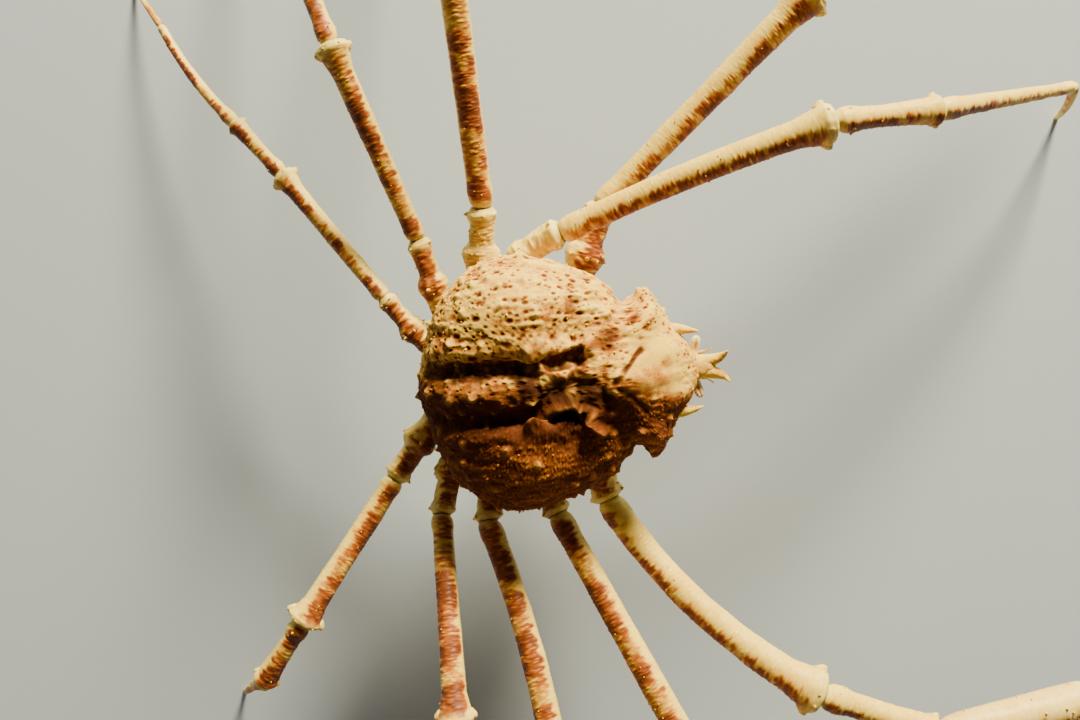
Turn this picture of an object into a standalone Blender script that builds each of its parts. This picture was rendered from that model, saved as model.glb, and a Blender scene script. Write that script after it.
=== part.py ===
"""Japanese spider crab as a still, life-size model that stands on the tips of its eight walking legs.

Metres, +Z up. The crab looks along -Y and its left side is +X. The body is divided at its own
seams: the carapace, the plate under it, the folded tail, jaw feet, eyes, antennae and, on each
of the ten limbs, the base, merus, carpus, propodus or palm, and dactylus or finger.
"""

import math
import random

import bmesh
import bpy
from mathutils import Vector

# Driving sizes of the carapace

SHELL_LENGTH = 0.344
SHELL_HALF = SHELL_LENGTH / 2
SHELL_WAIST_Z = 0.268
CROWN_HEIGHT = 0.072
FLANK_DEPTH = 0.062
FRONT_FALL = 0.16
RIM_ANGLE = math.radians(134)
SHELL_BOX = 0.86
SHELL_RINGS = 19
SHELL_SIDES = 50

# Half the shell's width beside that of a circle: at its middle, the narrowing towards the front,
# and then each bulge or nick as its place (-1 at the back, 1 in front), reach and size.

MIDDLE_WIDTH = 0.80
WIDTH_TAPER = 0.20
OUTLINE_BULGES = (
    (-0.45, 0.38, 0.09),
    (0.60, 0.12, 0.08),
    (0.42, 0.09, -0.15),
    (1.05, 0.20, -0.31),
    (-1.05, 0.16, -0.32),
)

# Swellings and grooves of the shell: forward, to the side, half length, half width, height.
# Those off the middle line are there on both sides. They fade out down the flanks.

SWELLINGS = {
    "gill_chamber": (-0.045, 0.088, 0.085, 0.050, 0.024),
    "stomach": (0.068, 0.0, 0.048, 0.046, 0.020),
    "forehead": (0.126, 0.024, 0.030, 0.020, 0.009),
    "liver": (0.094, 0.066, 0.026, 0.022, 0.013),
    "heart": (-0.010, 0.0, 0.034, 0.020, 0.010),
    "gut": (-0.092, 0.0, 0.056, 0.024, 0.013),
    "neck_groove": (0.018, 0.046, 0.020, 0.030, -0.013),
    "gill_groove": (-0.062, 0.036, 0.062, 0.010, -0.012),
}
FLANK_SWELLING = 0.35
FADE_SLOPE = 1.8

# Tubercles: how many, the least distance between two, height and radius, the lowest on the flank
# as the cosine of its angle from the crown, and the smooth forehead, where few stand.

TUBERCLE_COUNT = 118
TUBERCLE_SPACING = 0.0185
TUBERCLE_HEIGHT = (0.0034, 0.0068)
TUBERCLE_RADIUS = (0.0030, 0.0046)
TUBERCLE_SINK = 0.0045
LOWEST_TUBERCLE = -0.42
SNOUT_START = 0.135
FOREHEAD_START = 0.075
FOREHEAD_HALF_WIDTH = 0.050
FOREHEAD_SHARE = 0.15

# Spines in front, on both sides: root, tip, radius, depth sunk in, sides, and the point that bends it

FRONT_SPINES = {
    "snout": ((0.0085, -0.163, 0.270), (0.0190, -0.2035, 0.287), 0.0078, 0.012, 7, (0.0095, -0.192, 0.270)),
    "brow": ((0.0515, -0.132, 0.284), (0.0455, -0.1700, 0.290), 0.0060, 0.012, 6, None),
    "cheek": ((0.0745, -0.104, 0.272), (0.0860, -0.1130, 0.274), 0.0056, 0.010, 5, None),
}
SPINE_ROOT = 1.05
SPINE_TIP = 0.22
SPINE_BENDS = ((0.35, 0.80), (0.70, 0.48))

# The chest under the shell, the folded tail and the jaw feet, with heights from the belly

CHEST_TOP_Z = 0.2243
CHEST_DEPTH = 0.074
BELLY_Z = CHEST_TOP_Z - CHEST_DEPTH
CHEST_WIDTH = 0.79
CHEST_LENGTH = 0.84
CHEST_BACK = 0.018
CHEST_BOX = 0.45
CHEST_CURVE = 0.80
CHEST_STEEPEST = math.radians(80)
CHEST_SIDES = 36
CHEST_RINGS = 6

TAIL_PATH = ((0, 0.146, 0.030), (0, 0.132, -0.004), (0, -0.020, -0.001))
TAIL_LENGTHS = 7
TAIL_WIDTH = 0.034
TAIL_NARROWING = 0.022
TAIL_THICKNESS = 0.0055
TAIL_SEAM = 0.90

JAW_PATH = ((0.0125, -0.034, 0), (0.0140, -0.080, -0.004), (0.0135, -0.104, 0.022))
JAW_WIDTHS = ((0, 0.0070), (0.15, 0.0105), (0.55, 0.0112), (0.62, 0.0098), (0.85, 0.0100), (1, 0.0060))
JAW_THICKNESS = 0.0060

EYE_PATH = ((0.0110, -0.164, 0.262), (0.0245, -0.16725, 0.265), (0.0380, -0.1705, 0.268))
EYE_RADII = ((0, 0.0040), (0.45, 0.0038), (0.62, 0.0052), (0.78, 0.0060), (0.92, 0.0048), (1, 0.0022))
ANTENNA_PATH = ((0.0150, -0.150, 0.250), (0.0130, -0.182, 0.248), (0.0215, -0.1870, 0.268))
ANTENNA_RADII = ((0, 0.0036), (0.3, 0.0034), (0.38, 0.0024), (0.60, 0.0022), (0.66, 0.0014), (1, 0.0007))

# Limb sizes: girth is the radius of the merus, the rest are lengths.

LIMB_SIZES = {
    "cheliped": {"girth": 0.0182, "merus": 0.362, "carpus": 0.160, "propodus": 0.215, "dactylus": 0.150},
    "leg1": {"girth": 0.0166, "merus": 0.345, "carpus": 0.140, "propodus": 0.300, "dactylus": 0.115},
    "leg2": {"girth": 0.0160, "merus": 0.345, "carpus": 0.140, "propodus": 0.295, "dactylus": 0.120},
    "leg3": {"girth": 0.0132, "merus": 0.255, "carpus": 0.118, "propodus": 0.245, "dactylus": 0.115},
    "leg4": {"girth": 0.0125, "merus": 0.214, "carpus": 0.097, "propodus": 0.190, "dactylus": 0.100},
}

# Where each limb leaves the chest, then its knee at the end of the base, and then the heading
# (degrees from straight ahead, positive to the crab's left) and rise of each further length.
# A walking leg's last rise is worked out from the floor. A bend bows a length: to the right of
# its heading, as seen from above, and upwards.

LIMB_POSES = {
    "cheliped_left": {
        "stout": 0.91, "hip": (0.082, -0.020, 0.178), "knee": (0.2065, -0.0740, 0.190),
        "merus": (40.5, 10), "carpus": (34, 4), "propodus": (24, -8), "dactylus": (20, -12)},
    "cheliped_right": {
        "stout": 1.04, "hip": (-0.082, -0.030, 0.178), "knee": (-0.175, -0.051, 0.190),
        "merus": (-46, 15), "carpus": (-25, -2), "propodus": (4, -8), "dactylus": (12, -12),
        "bend": {"merus": (0.024, 0.0)}},
    "leg1_left": {
        "stout": 0.96, "hip": (0.096, 0.046, 0.194), "knee": (0.1775, -0.019, 0.240),
        "merus": (17, 13), "carpus": (2, -16), "propodus": (6, -35), "dactylus": (-51, 0),
        "bend": {"base": (-0.020, 0.0), "merus": (-0.006, 0.0)}},
    "leg1_right": {
        "stout": 0.96, "hip": (-0.096, 0.046, 0.194), "knee": (-0.177, 0.017, 0.235),
        "merus": (-64.5, 18), "carpus": (-57, -10), "propodus": (-52, -49), "dactylus": (-50, 0)},
    "leg2_left": {
        "stout": 0.98, "hip": (0.097, 0.091, 0.194), "knee": (0.217, 0.0765, 0.225),
        "merus": (91.6, 14), "carpus": (91, -12), "propodus": (92, -42), "dactylus": (93, 0)},
    "leg2_right": {
        "stout": 0.97, "hip": (-0.097, 0.091, 0.194), "knee": (-0.1775, 0.1065, 0.235),
        "merus": (-78.5, 20), "carpus": (-82, -13), "propodus": (-86, -58), "dactylus": (-88, 0),
        "bend": {"merus": (-0.010, 0.0)}},
    "leg3_left": {
        "stout": 0.96, "hip": (0.064, 0.134, 0.194), "knee": (0.185, 0.161, 0.215),
        "merus": (107, 14), "carpus": (107, -14), "propodus": (110, -40), "dactylus": (113, 0)},
    "leg3_right": {
        "stout": 1.06, "hip": (-0.064, 0.134, 0.194), "knee": (-0.164, 0.164, 0.235),
        "merus": (-88.8, 30), "carpus": (-95, -20), "propodus": (-100, -59), "dactylus": (-103, 0)},
    "leg4_left": {
        "stout": 0.88, "hip": (0.026, 0.148, 0.196), "knee": (0.116, 0.2115, 0.205),
        "merus": (126, -14), "carpus": (129, -16), "propodus": (125, -22), "dactylus": (124, 0),
        "bend": {"propodus": (-0.0065, 0.0)}},
    "leg4_right": {
        "stout": 1.14, "hip": (-0.026, 0.148, 0.196), "knee": (-0.119, 0.2225, 0.205),
        "merus": (-128.5, 15), "carpus": (-128, -8), "propodus": (-131, -60), "dactylus": (-134, 0)},
}

# Thickness along each length: how far along it, and the radius beside the limb's girth

PROFILES = {
    "base": (
        (0, 1.0), (0.34, 1.10), (0.50, 1.48), (0.56, 1.42), (0.63, 1.04), (0.84, 1.02),
        (0.94, 1.24), (1, 0.82)),
    "merus": (
        (0, 0.72), (0.018, 0.94), (0.05, 1.02), (0.10, 0.93), (0.35, 0.96), (0.65, 1.0),
        (0.86, 1.06), (0.93, 1.30), (0.965, 1.55), (0.988, 1.34), (1, 0.80)),
    "carpus": (
        (0, 0.66), (0.05, 0.92), (0.14, 0.98), (0.24, 0.82), (0.60, 0.84), (0.86, 0.98),
        (0.95, 1.16), (1, 0.68)),
    "propodus": (
        (0, 0.56), (0.025, 0.82), (0.08, 0.86), (0.15, 0.72), (0.55, 0.60), (0.90, 0.50),
        (0.97, 0.56), (1, 0.36)),
    "dactylus": ((0, 0.34), (0.06, 0.44), (0.20, 0.40), (0.50, 0.34), (0.80, 0.27), (1, 0.20)),
    "palm": (
        (0, 0.66), (0.04, 0.96), (0.12, 1.08), (0.40, 1.16), (0.75, 1.28), (0.93, 1.30), (1, 1.08)),
}
LIMB_SIDES = 9
SEAM_TURN_IN = 3.2
CLAW_ARCH = 0.08
FOOT_RADIUS = 0.0032
STEEPEST_FOOT = 0.98
GAP = 0.0003

# Spines round the flared end of a length: which ring they stand on, how many, and the longest.
# Low spines are scattered along a length. Their radius and depth are beside the limb's girth.

SEAM_SPINES = {"merus": (8, 4, 0.010), "carpus": (6, 3, 0.007)}
SEAM_SPINE_GIRTH = (0.22, 0.30)
LOW_SPINES = {"leg": 2, "cheliped": 4, "palm": 5}
LOW_SPINE_LENGTH = 0.004
LOW_SPINE_GIRTH = (0.20, 0.28)

# The claw, beside the limb's girth: how far each finger's root, tip and bow stand from the middle
# line, and the radius along the fingers

FIXED_FINGER = {"root": 0.58, "tip": 0.18, "bow": 0.75, "sunk": 0.90}
FIXED_RADII = ((0, 0.50), (0.18, 0.52), (0.45, 0.44), (0.75, 0.32), (1, 0.09))
MOVING_FINGER = {"root": 0.56, "tip": 0.14, "bow": 0.85}
MOVING_RADII = ((0.10, 0.54), (0.40, 0.42), (0.75, 0.30), (1, 0.09))
KNUCKLE_RADIUS = 0.44
FINGER_FLATNESS = 0.86
TOOTH_PLACES = (0.30, 0.47, 0.64)
TOOTH_SIZE = {"lift": 0.30, "height": 0.26, "radius": 0.16, "sink": 0.20}

SEED = 27

SHELL_COLOUR = (0.62, 0.27, 0.10, 1)
LIMB_COLOUR = (0.74, 0.40, 0.16, 1)
UNDERSIDE_COLOUR = (0.80, 0.62, 0.36, 1)
EYE_COLOUR = (0.03, 0.02, 0.015, 1)


def clear_scene():
    for old in list(bpy.data.objects):
        bpy.data.objects.remove(old, do_unlink=True)


def make_material(name, colour, roughness):
    made = bpy.data.materials.new(name)
    made.use_nodes = True
    shader = made.node_tree.nodes["Principled BSDF"]
    shader.inputs["Base Color"].default_value = colour
    shader.inputs["Roughness"].default_value = roughness
    shader.inputs["Metallic"].default_value = 0.0
    return made


def add_object(name, faces, points, finish=None):
    """A new object from faces and points, with its faces turned outwards."""
    mesh = bpy.data.meshes.new(name)
    mesh.from_pydata(points, [], faces)
    work = bmesh.new()
    work.from_mesh(mesh)
    bmesh.ops.recalc_face_normals(work, faces=work.faces)
    work.to_mesh(mesh)
    work.free()
    made = bpy.data.objects.new(name, mesh)
    bpy.context.scene.collection.objects.link(made)
    if finish:
        mesh.materials.append(finish)
    return made


def bump(distance, reach):
    return math.exp(-(distance / reach) ** 2)


def on_side(place, side):
    """A place of the left side as a vector, mirrored where side is -1."""
    return Vector((side * place[0], place[1], place[2]))


# Lofted lengths

def ring_axes(normal, side):
    first = (side - normal * side.dot(normal)).normalized()
    return first, normal.cross(first).normalized()


def loft(name, rings, sides, finish=None, grow=0.0):
    """Joins rings of (centre, normal, side, radius, flatness) into one closed body.

    With grow the body is that much larger all round, which makes it the cutter of its own socket.
    """
    points = []
    last = len(rings) - 1
    for index, (centre, normal, side, radius, flat) in enumerate(rings):
        first, second = ring_axes(normal, side)
        if index == 0:
            centre = centre - normal * grow
        if index == last:
            centre = centre + normal * grow
        for step in range(sides):
            turn = math.tau * step / sides
            across = first * ((radius + grow) * math.cos(turn))
            points.append(centre + across + second * ((radius * flat + grow) * math.sin(turn)))
    faces = [tuple(range(sides)), tuple(reversed(range(last * sides, (last + 1) * sides)))]
    for row in range(last):
        for step in range(sides):
            here = row * sides + step
            beside = row * sides + (step + 1) % sides
            faces.append((here, here + sides, beside + sides))
            faces.append((here, beside + sides, beside))
    return add_object(name, faces, points, finish)


def curve_point(start, control, end, share):
    return start * (1 - share) ** 2 + control * (2 * share * (1 - share)) + end * share ** 2


def curve_slope(start, control, end, share):
    return ((control - start) * (1 - share) + (end - control) * share).normalized()


def curved_rings(path, sizes, side, flatness=1.0):
    """Rings along the curve from the first to the last of three points, with (share, radius) sizes."""
    start, control, end = path
    rings = []
    for share, radius in sizes:
        slope = curve_slope(start, control, end, share)
        rings.append((curve_point(start, control, end, share), slope, side, radius, flatness))
    return rings


def spine(name, root, tip, radius, sink, sides=5, bend=None):
    """A tapered spine with its root sunk into what it grows from. With bend it curves."""
    axis = (tip - root).normalized()
    side = axis.orthogonal().normalized()
    rings = [(root - axis * sink, axis, side, radius * SPINE_ROOT, 1.0)]
    if bend:
        sizes = [(share, radius * factor) for share, factor in SPINE_BENDS]
        rings += curved_rings((root, bend, tip), sizes, side)
    rings.append((tip, axis, side, radius * SPINE_TIP, 1.0))
    return loft(name, rings, sides)


# Boolean work

def evaluated_mesh(item):
    graph = bpy.context.evaluated_depsgraph_get()
    return bpy.data.meshes.new_from_object(item.evaluated_get(graph))


def combine(target, pieces, operation):
    """Fuses the pieces to the target, or cuts it by them, and removes the pieces."""
    group = bpy.data.collections.new("pieces")
    bpy.context.scene.collection.children.link(group)
    for piece in pieces:
        group.objects.link(piece)
    cut = target.modifiers.new("combine", "BOOLEAN")
    cut.operation = operation
    cut.operand_type = "COLLECTION"
    cut.collection = group
    cut.solver = "EXACT"
    result = evaluated_mesh(target)
    target.modifiers.remove(cut)
    old = target.data
    target.data = result
    bpy.data.meshes.remove(old)
    for piece in pieces:
        bpy.data.objects.remove(piece, do_unlink=True)
    bpy.data.collections.remove(group)
    keep_largest(target)


def closed_surfaces(work):
    """The faces of each separate surface."""
    left = set(work.faces)
    surfaces = []
    while left:
        stack = [left.pop()]
        found = list(stack)
        while stack:
            for edge in stack.pop().edges:
                for face in edge.link_faces:
                    if face in left:
                        left.remove(face)
                        stack.append(face)
                        found.append(face)
        surfaces.append(found)
    return surfaces


def keep_largest(item):
    """Drops every closed surface of a node but the one with the most faces, and leaves triangles."""
    work = bmesh.new()
    work.from_mesh(item.data)
    bmesh.ops.triangulate(work, faces=work.faces)
    surfaces = sorted(closed_surfaces(work), key=len)
    for scrap in surfaces[:-1]:
        bmesh.ops.delete(work, geom=scrap, context="FACES")
    bmesh.ops.dissolve_degenerate(work, dist=0.00002, edges=work.edges)
    bmesh.ops.triangulate(work, faces=work.faces)
    loose = [point for point in work.verts if not point.link_faces]
    bmesh.ops.delete(work, geom=loose, context="VERTS")
    work.to_mesh(item.data)
    work.free()


# The carapace

def half_width(forward):
    """Half the shell's width beside that of a circle, for forward from -1 at the back to 1."""
    width = MIDDLE_WIDTH - WIDTH_TAPER * forward
    for place, reach, size in OUTLINE_BULGES:
        width += size * bump(forward - place, reach)
    return width


def swelling_height(forward, aside):
    height = 0.0
    for ahead, apart, half_length, half_across, rise in SWELLINGS.values():
        for mirrored in {apart, -apart}:
            height += rise * bump(forward - ahead, half_length) * bump(aside - mirrored, half_across)
    return height


def shell_point(down, round_turn):
    """A point of the shell: down is the angle from the crown, round_turn is 0 at the left side."""
    reach = math.sin(down) ** SHELL_BOX
    forward = reach * math.sin(round_turn)
    aside = reach * math.cos(round_turn) * half_width(forward)
    level = math.cos(down)
    height = (CROWN_HEIGHT if level > 0 else FLANK_DEPTH) * level * (1 - FRONT_FALL * forward)
    place = Vector((SHELL_HALF * aside, -SHELL_HALF * forward, SHELL_WAIST_Z + height))
    fade = max(0.0, min(1.0, level * FADE_SLOPE + FLANK_SWELLING))
    around = math.sin(down)
    outward = Vector((around * math.cos(round_turn), -around * math.sin(round_turn), max(level, 0.1)))
    return place + outward.normalized() * (swelling_height(-place.y, place.x) * fade)


def shell_normal(down, round_turn):
    step = 0.02
    one = shell_point(down + step, round_turn) - shell_point(down - step, round_turn)
    two = shell_point(down, round_turn + step) - shell_point(down, round_turn - step)
    return one.cross(two).normalized()


def shell_faces(rings, sides):
    faces = [(0, 1 + (step + 1) % sides, 1 + step) for step in range(sides)]
    for row in range(rings - 1):
        for step in range(sides):
            here = 1 + row * sides + step
            beside = 1 + row * sides + (step + 1) % sides
            faces.append((here, beside, beside + sides))
            faces.append((here, beside + sides, here + sides))
    faces.append(tuple(1 + (rings - 1) * sides + step for step in range(sides)))
    return faces


def build_carapace(finish):
    """The shell from its crown down to the flat rim that lies on the chest."""
    points = [shell_point(0.0001, 0)]
    for row in range(1, SHELL_RINGS + 1):
        down = RIM_ANGLE * row / SHELL_RINGS
        for step in range(SHELL_SIDES):
            points.append(shell_point(down, math.tau * step / SHELL_SIDES))
    for index in range(len(points) - SHELL_SIDES, len(points)):
        points[index].z = CHEST_TOP_Z + GAP
    return add_object("carapace", shell_faces(SHELL_RINGS, SHELL_SIDES), points, finish)


def front_spines():
    """The forked snout, the spines over the eyes and those on the cheeks."""
    spines = []
    for side in (1, -1):
        for name, (root, tip, radius, sink, sides, bend) in FRONT_SPINES.items():
            control = on_side(bend, side) if bend else None
            spines.append(spine(name, on_side(root, side), on_side(tip, side), radius, sink, sides, control))
    return spines


def shell_tubercles(draw):
    """Blunt tubercles over the crown and flanks, further apart than the least distance between two."""
    places = []
    spines = []
    tries = 0
    while len(spines) < TUBERCLE_COUNT and tries < TUBERCLE_COUNT * 50:
        tries += 1
        down = math.acos(draw.uniform(LOWEST_TUBERCLE, 1.0))
        turn = draw.uniform(0, math.tau)
        place = shell_point(down, turn)
        on_forehead = -place.y > FOREHEAD_START and abs(place.x) < FOREHEAD_HALF_WIDTH
        if on_forehead and draw.random() > FOREHEAD_SHARE:
            continue
        if -place.y > SNOUT_START or any((place - other).length < TUBERCLE_SPACING for other in places):
            continue
        places.append(place)
        lean = Vector((draw.uniform(-0.25, 0.25), draw.uniform(-0.35, 0.15), 0))
        direction = (shell_normal(down, turn) + lean).normalized()
        tip = place + direction * draw.uniform(*TUBERCLE_HEIGHT)
        spines.append(spine("tubercle", place, tip, draw.uniform(*TUBERCLE_RADIUS), TUBERCLE_SINK))
    return spines


# The underside, eyes and antennae

def chest_point(rise, round_turn):
    """A point of the chest: rise is 0 at its flat top and a right angle at the belly."""
    reach = math.cos(rise) ** CHEST_BOX
    forward = reach * math.sin(round_turn)
    aside = reach * math.cos(round_turn) * half_width(forward * CHEST_LENGTH) * CHEST_WIDTH
    depth = CHEST_DEPTH * math.sin(rise) ** CHEST_CURVE
    return Vector((SHELL_HALF * aside, CHEST_BACK - SHELL_HALF * CHEST_LENGTH * forward, CHEST_TOP_Z - depth))


def build_chest(finish):
    points = [Vector((0, CHEST_BACK, CHEST_TOP_Z))]
    for row in range(CHEST_RINGS):
        rise = CHEST_STEEPEST * (row / (CHEST_RINGS - 1)) ** CHEST_CURVE
        for step in range(CHEST_SIDES):
            points.append(chest_point(rise, math.tau * step / CHEST_SIDES))
    return add_object("chest", shell_faces(CHEST_RINGS, CHEST_SIDES), points, finish)


def tail_rings():
    """The tail folded under the belly, in ridged lengths that narrow towards its tip."""
    back, corner, tip = (Vector(place) + Vector((0, 0, BELLY_Z)) for place in TAIL_PATH)
    rings = []
    for row in range(TAIL_LENGTHS * 2 + 1):
        share = row / (TAIL_LENGTHS * 2)
        ridge = 1.0 if row % 2 else TAIL_SEAM
        width = (TAIL_WIDTH - TAIL_NARROWING * share) * ridge
        centre = curve_point(back, corner, tip, share)
        normal = curve_slope(back, corner, tip, share)
        rings.append((centre, normal, Vector((1, 0, 0)), width, TAIL_THICKNESS * ridge / width))
    return rings


def jaw_rings(side):
    """A jaw foot: the flat plate that closes one half of the mouth."""
    path = [on_side(place, side) + Vector((0, 0, BELLY_Z)) for place in JAW_PATH]
    rings = curved_rings(path, JAW_WIDTHS, Vector((1, 0, 0)))
    return [(*ring[:4], JAW_THICKNESS / ring[3]) for ring in rings]


def eye_rings(side):
    """An eye on its stalk, which leans out of the notch beside the snout."""
    return curved_rings([on_side(place, side) for place in EYE_PATH], EYE_RADII, Vector((0, 0, 1)))


def antenna_rings(side):
    return curved_rings([on_side(place, side) for place in ANTENNA_PATH], ANTENNA_RADII, Vector((0, 0, 1)))


# The limbs

def heading(angles):
    """The unit vector for a heading and a rise in degrees."""
    turn, rise = (math.radians(angle) for angle in angles)
    return Vector((math.sin(turn) * math.cos(rise), -math.cos(turn) * math.cos(rise), math.sin(rise)))


def limb_joints(kind, pose):
    """The joints from hip to tip. A walking leg's tip is put on the floor, below its heading."""
    sizes = LIMB_SIZES[kind]
    joints = [Vector(pose["hip"]), Vector(pose["knee"])]
    for part in ("merus", "carpus", "propodus"):
        joints.append(joints[-1] + heading(pose[part]) * sizes[part])
    last = joints[-1]
    turn, rise = pose["dactylus"]
    if kind != "cheliped":
        rise = -math.degrees(math.asin(min(STEEPEST_FOOT, last.z / sizes["dactylus"])))
    tip = last + heading((turn, rise)) * sizes["dactylus"]
    if kind != "cheliped":
        tip.z = 0.0
    joints.append(tip)
    return joints


def level_side(axis):
    """The level direction to the right of a heading."""
    return Vector((axis.y, -axis.x, 0)).normalized()


def upward(axis, side):
    """The direction square to a length and its side that points up."""
    above = side.cross(axis).normalized()
    return above if above.z > 0 else -above


class Length:
    """One length of a limb, from joint to joint, straight or bowed."""

    def __init__(self, start, end, bend):
        self.start = start
        self.span = end - start
        axis = self.span.normalized()
        self.side = level_side(axis)
        self.bow = self.side * bend[0] + self.side.cross(axis) * bend[1]

    def place(self, share):
        return self.start + self.span * share + self.bow * (4 * share * (1 - share))

    def slope(self, share):
        return (self.span + self.bow * (4 * (1 - 2 * share))).normalized()

    def rings(self, normals, profile, girth):
        """Rings that turn into the seam at either end, half a gap short of the joint."""
        turn_in = SEAM_TURN_IN * girth / self.span.length
        made = []
        for share, factor in profile:
            near_start = max(0.0, 1 - share / turn_in)
            near_end = max(0.0, 1 - (1 - share) / turn_in)
            slope = self.slope(share)
            normal = slope + (normals[0] - slope) * near_start + (normals[1] - slope) * near_end
            centre = self.place(share)
            if share == 0:
                centre = centre + normals[0] * (GAP / 2)
            if share == 1:
                centre = centre - normals[1] * (GAP / 2)
            made.append((centre, normal.normalized(), self.side, girth * factor, 1.0))
        return made


def limb_lengths(joints, pose):
    """The lengths between the joints and the seam normals, half way between two slopes."""
    bends = pose.get("bend", {})
    names = ("base", "merus", "carpus", "propodus", "dactylus")
    lengths = []
    for name, start, end in zip(names, joints, joints[1:]):
        lengths.append(Length(start, end, bends.get(name, (0.0, 0.0))))
    seams = [lengths[0].slope(0)]
    for one, two in zip(lengths, lengths[1:]):
        seams.append((one.slope(1) + two.slope(0)).normalized())
    seams.append(lengths[-1].slope(1))
    return lengths, seams


def foot_rings(start, foot, normal, girth):
    """The rings of a walking leg's last length: a slight claw that ends in a flat on the floor."""
    span = foot - start
    side = level_side(span.normalized())
    control = (start + foot) / 2 + upward(span, side) * (CLAW_ARCH * span.length)
    rings = []
    for share, factor in PROFILES["dactylus"]:
        slope = curve_slope(start, control, foot, share)
        radius = girth * factor
        if share == 0:
            slope = normal
        if share == 1:
            slope = Vector((0, 0, -1))
            radius = FOOT_RADIUS
        rings.append((curve_point(start, control, foot, share), slope, side, radius, 1.0))
    return rings


def seam_spines(rings, at, count, girth, draw, longest):
    """Short spines that stand round a flared seam."""
    centre, normal, side, radius, _ = rings[at]
    first, second = ring_axes(normal, side)
    thick, sink = (girth * factor for factor in SEAM_SPINE_GIRTH)
    spines = []
    for step in range(count):
        turn = math.tau * (step + 0.25) / count + draw.uniform(-0.25, 0.25)
        outward = first * math.cos(turn) + second * math.sin(turn)
        length = longest * draw.uniform(0.55, 1.0)
        root = centre + outward * radius * 0.94
        tip = root + (outward - normal * draw.uniform(0.0, 0.35)).normalized() * length
        spines.append(spine("seam_spine", root, tip, thick, sink))
    return spines


def low_spines(rings, count, girth, draw):
    """Low spines scattered along a length between its flared ends."""
    thick, sink = (girth * factor for factor in LOW_SPINE_GIRTH)
    inner = rings[2:-3]
    spines = []
    for step in range(count):
        place = (step + draw.uniform(0.2, 0.8)) / count * (len(inner) - 1)
        row = min(int(place), len(inner) - 2)
        share = place - row
        centre = inner[row][0].lerp(inner[row + 1][0], share)
        radius = inner[row][3] * (1 - share) + inner[row + 1][3] * share
        first, second = ring_axes(inner[row][1], inner[row][2])
        turn = draw.uniform(0, math.tau)
        outward = first * math.cos(turn) + second * math.sin(turn)
        root = centre + outward * radius * 0.92
        tip = root + outward * LOW_SPINE_LENGTH * draw.uniform(0.6, 1.0)
        spines.append(spine("low_spine", root, tip, thick, sink))
    return spines


def fixed_finger(path, axis, side, above, girth):
    """The finger that is one piece with the palm, and the low teeth on its inner edge."""
    root, control, tip = path
    radii = [(share, girth * factor) for share, factor in FIXED_RADII]
    sunk = root - axis * girth * FIXED_FINGER["sunk"]
    pieces = [loft("fixed_finger", curved_rings((sunk, control, tip), radii, side, FINGER_FLATNESS), 7)]
    for share in TOOTH_PLACES:
        foot = curve_point(root, control, tip, share) + above * girth * TOOTH_SIZE["lift"]
        top = foot + above * girth * TOOTH_SIZE["height"]
        pieces.append(spine("tooth", foot, top, girth * TOOTH_SIZE["radius"], girth * TOOTH_SIZE["sink"]))
    return pieces


def build_claw(name, palm_length, seam, tip, girth, finish, draw):
    """The palm with its fixed finger, and the finger that closes on it."""
    axis = palm_length.slope(1)
    knuckle = palm_length.place(1)
    side = palm_length.side
    above = upward(axis, side)
    rings = palm_length.rings((seam, axis), PROFILES["palm"], girth)
    palm = loft(name + "_palm", rings, LIMB_SIDES + 1, finish)

    root = knuckle - above * girth * FIXED_FINGER["root"]
    end = tip - above * girth * FIXED_FINGER["tip"]
    control = (root + end) / 2 - above * girth * FIXED_FINGER["bow"]
    pieces = fixed_finger((root, control, end), axis, side, above, girth)
    combine(palm, pieces + low_spines(rings, LOW_SPINES["palm"], girth, draw), "UNION")

    hinge = knuckle + above * girth * MOVING_FINGER["root"] + axis * GAP
    end = tip + above * girth * MOVING_FINGER["tip"]
    control = (hinge + end) / 2 + above * girth * MOVING_FINGER["bow"]
    radii = [(share, girth * factor) for share, factor in MOVING_RADII]
    finger = [(hinge, axis, side, girth * KNUCKLE_RADIUS, FINGER_FLATNESS)]
    finger += curved_rings((hinge, control, end), radii, side, FINGER_FLATNESS)
    loft(name + "_finger", finger, 7, finish)


def build_limb(name, pose, finish, draw):
    """One limb. Returns the grown copy of its base, which cuts the socket that it sits in."""
    kind = name.split("_")[0]
    clawed = kind == "cheliped"
    girth = LIMB_SIZES[kind]["girth"] * pose["stout"]
    joints = limb_joints(kind, pose)
    lengths, seams = limb_lengths(joints, pose)
    parts = ("base", "merus", "carpus") if clawed else ("base", "merus", "carpus", "propodus")
    socket = None
    for index, part in enumerate(parts):
        rings = lengths[index].rings((seams[index], seams[index + 1]), PROFILES[part], girth)
        made = loft(f"{name}_{part}", rings, LIMB_SIDES, finish)
        grown = []
        if part == "base":
            socket = loft("socket", rings, LIMB_SIDES, grow=GAP)
        if part in SEAM_SPINES:
            at, count, longest = SEAM_SPINES[part]
            grown += seam_spines(rings, at, count, girth, draw, longest)
        if part == "merus":
            grown += low_spines(rings, LOW_SPINES["cheliped" if clawed else "leg"], girth, draw)
        if grown:
            combine(made, grown, "UNION")
    if clawed:
        build_claw(name, lengths[3], seams[3], joints[5], girth, finish, draw)
    else:
        start = joints[4] + seams[4] * (GAP / 2)
        loft(f"{name}_dactylus", foot_rings(start, joints[5], seams[4], girth), LIMB_SIDES - 1, finish)
    return socket


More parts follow.
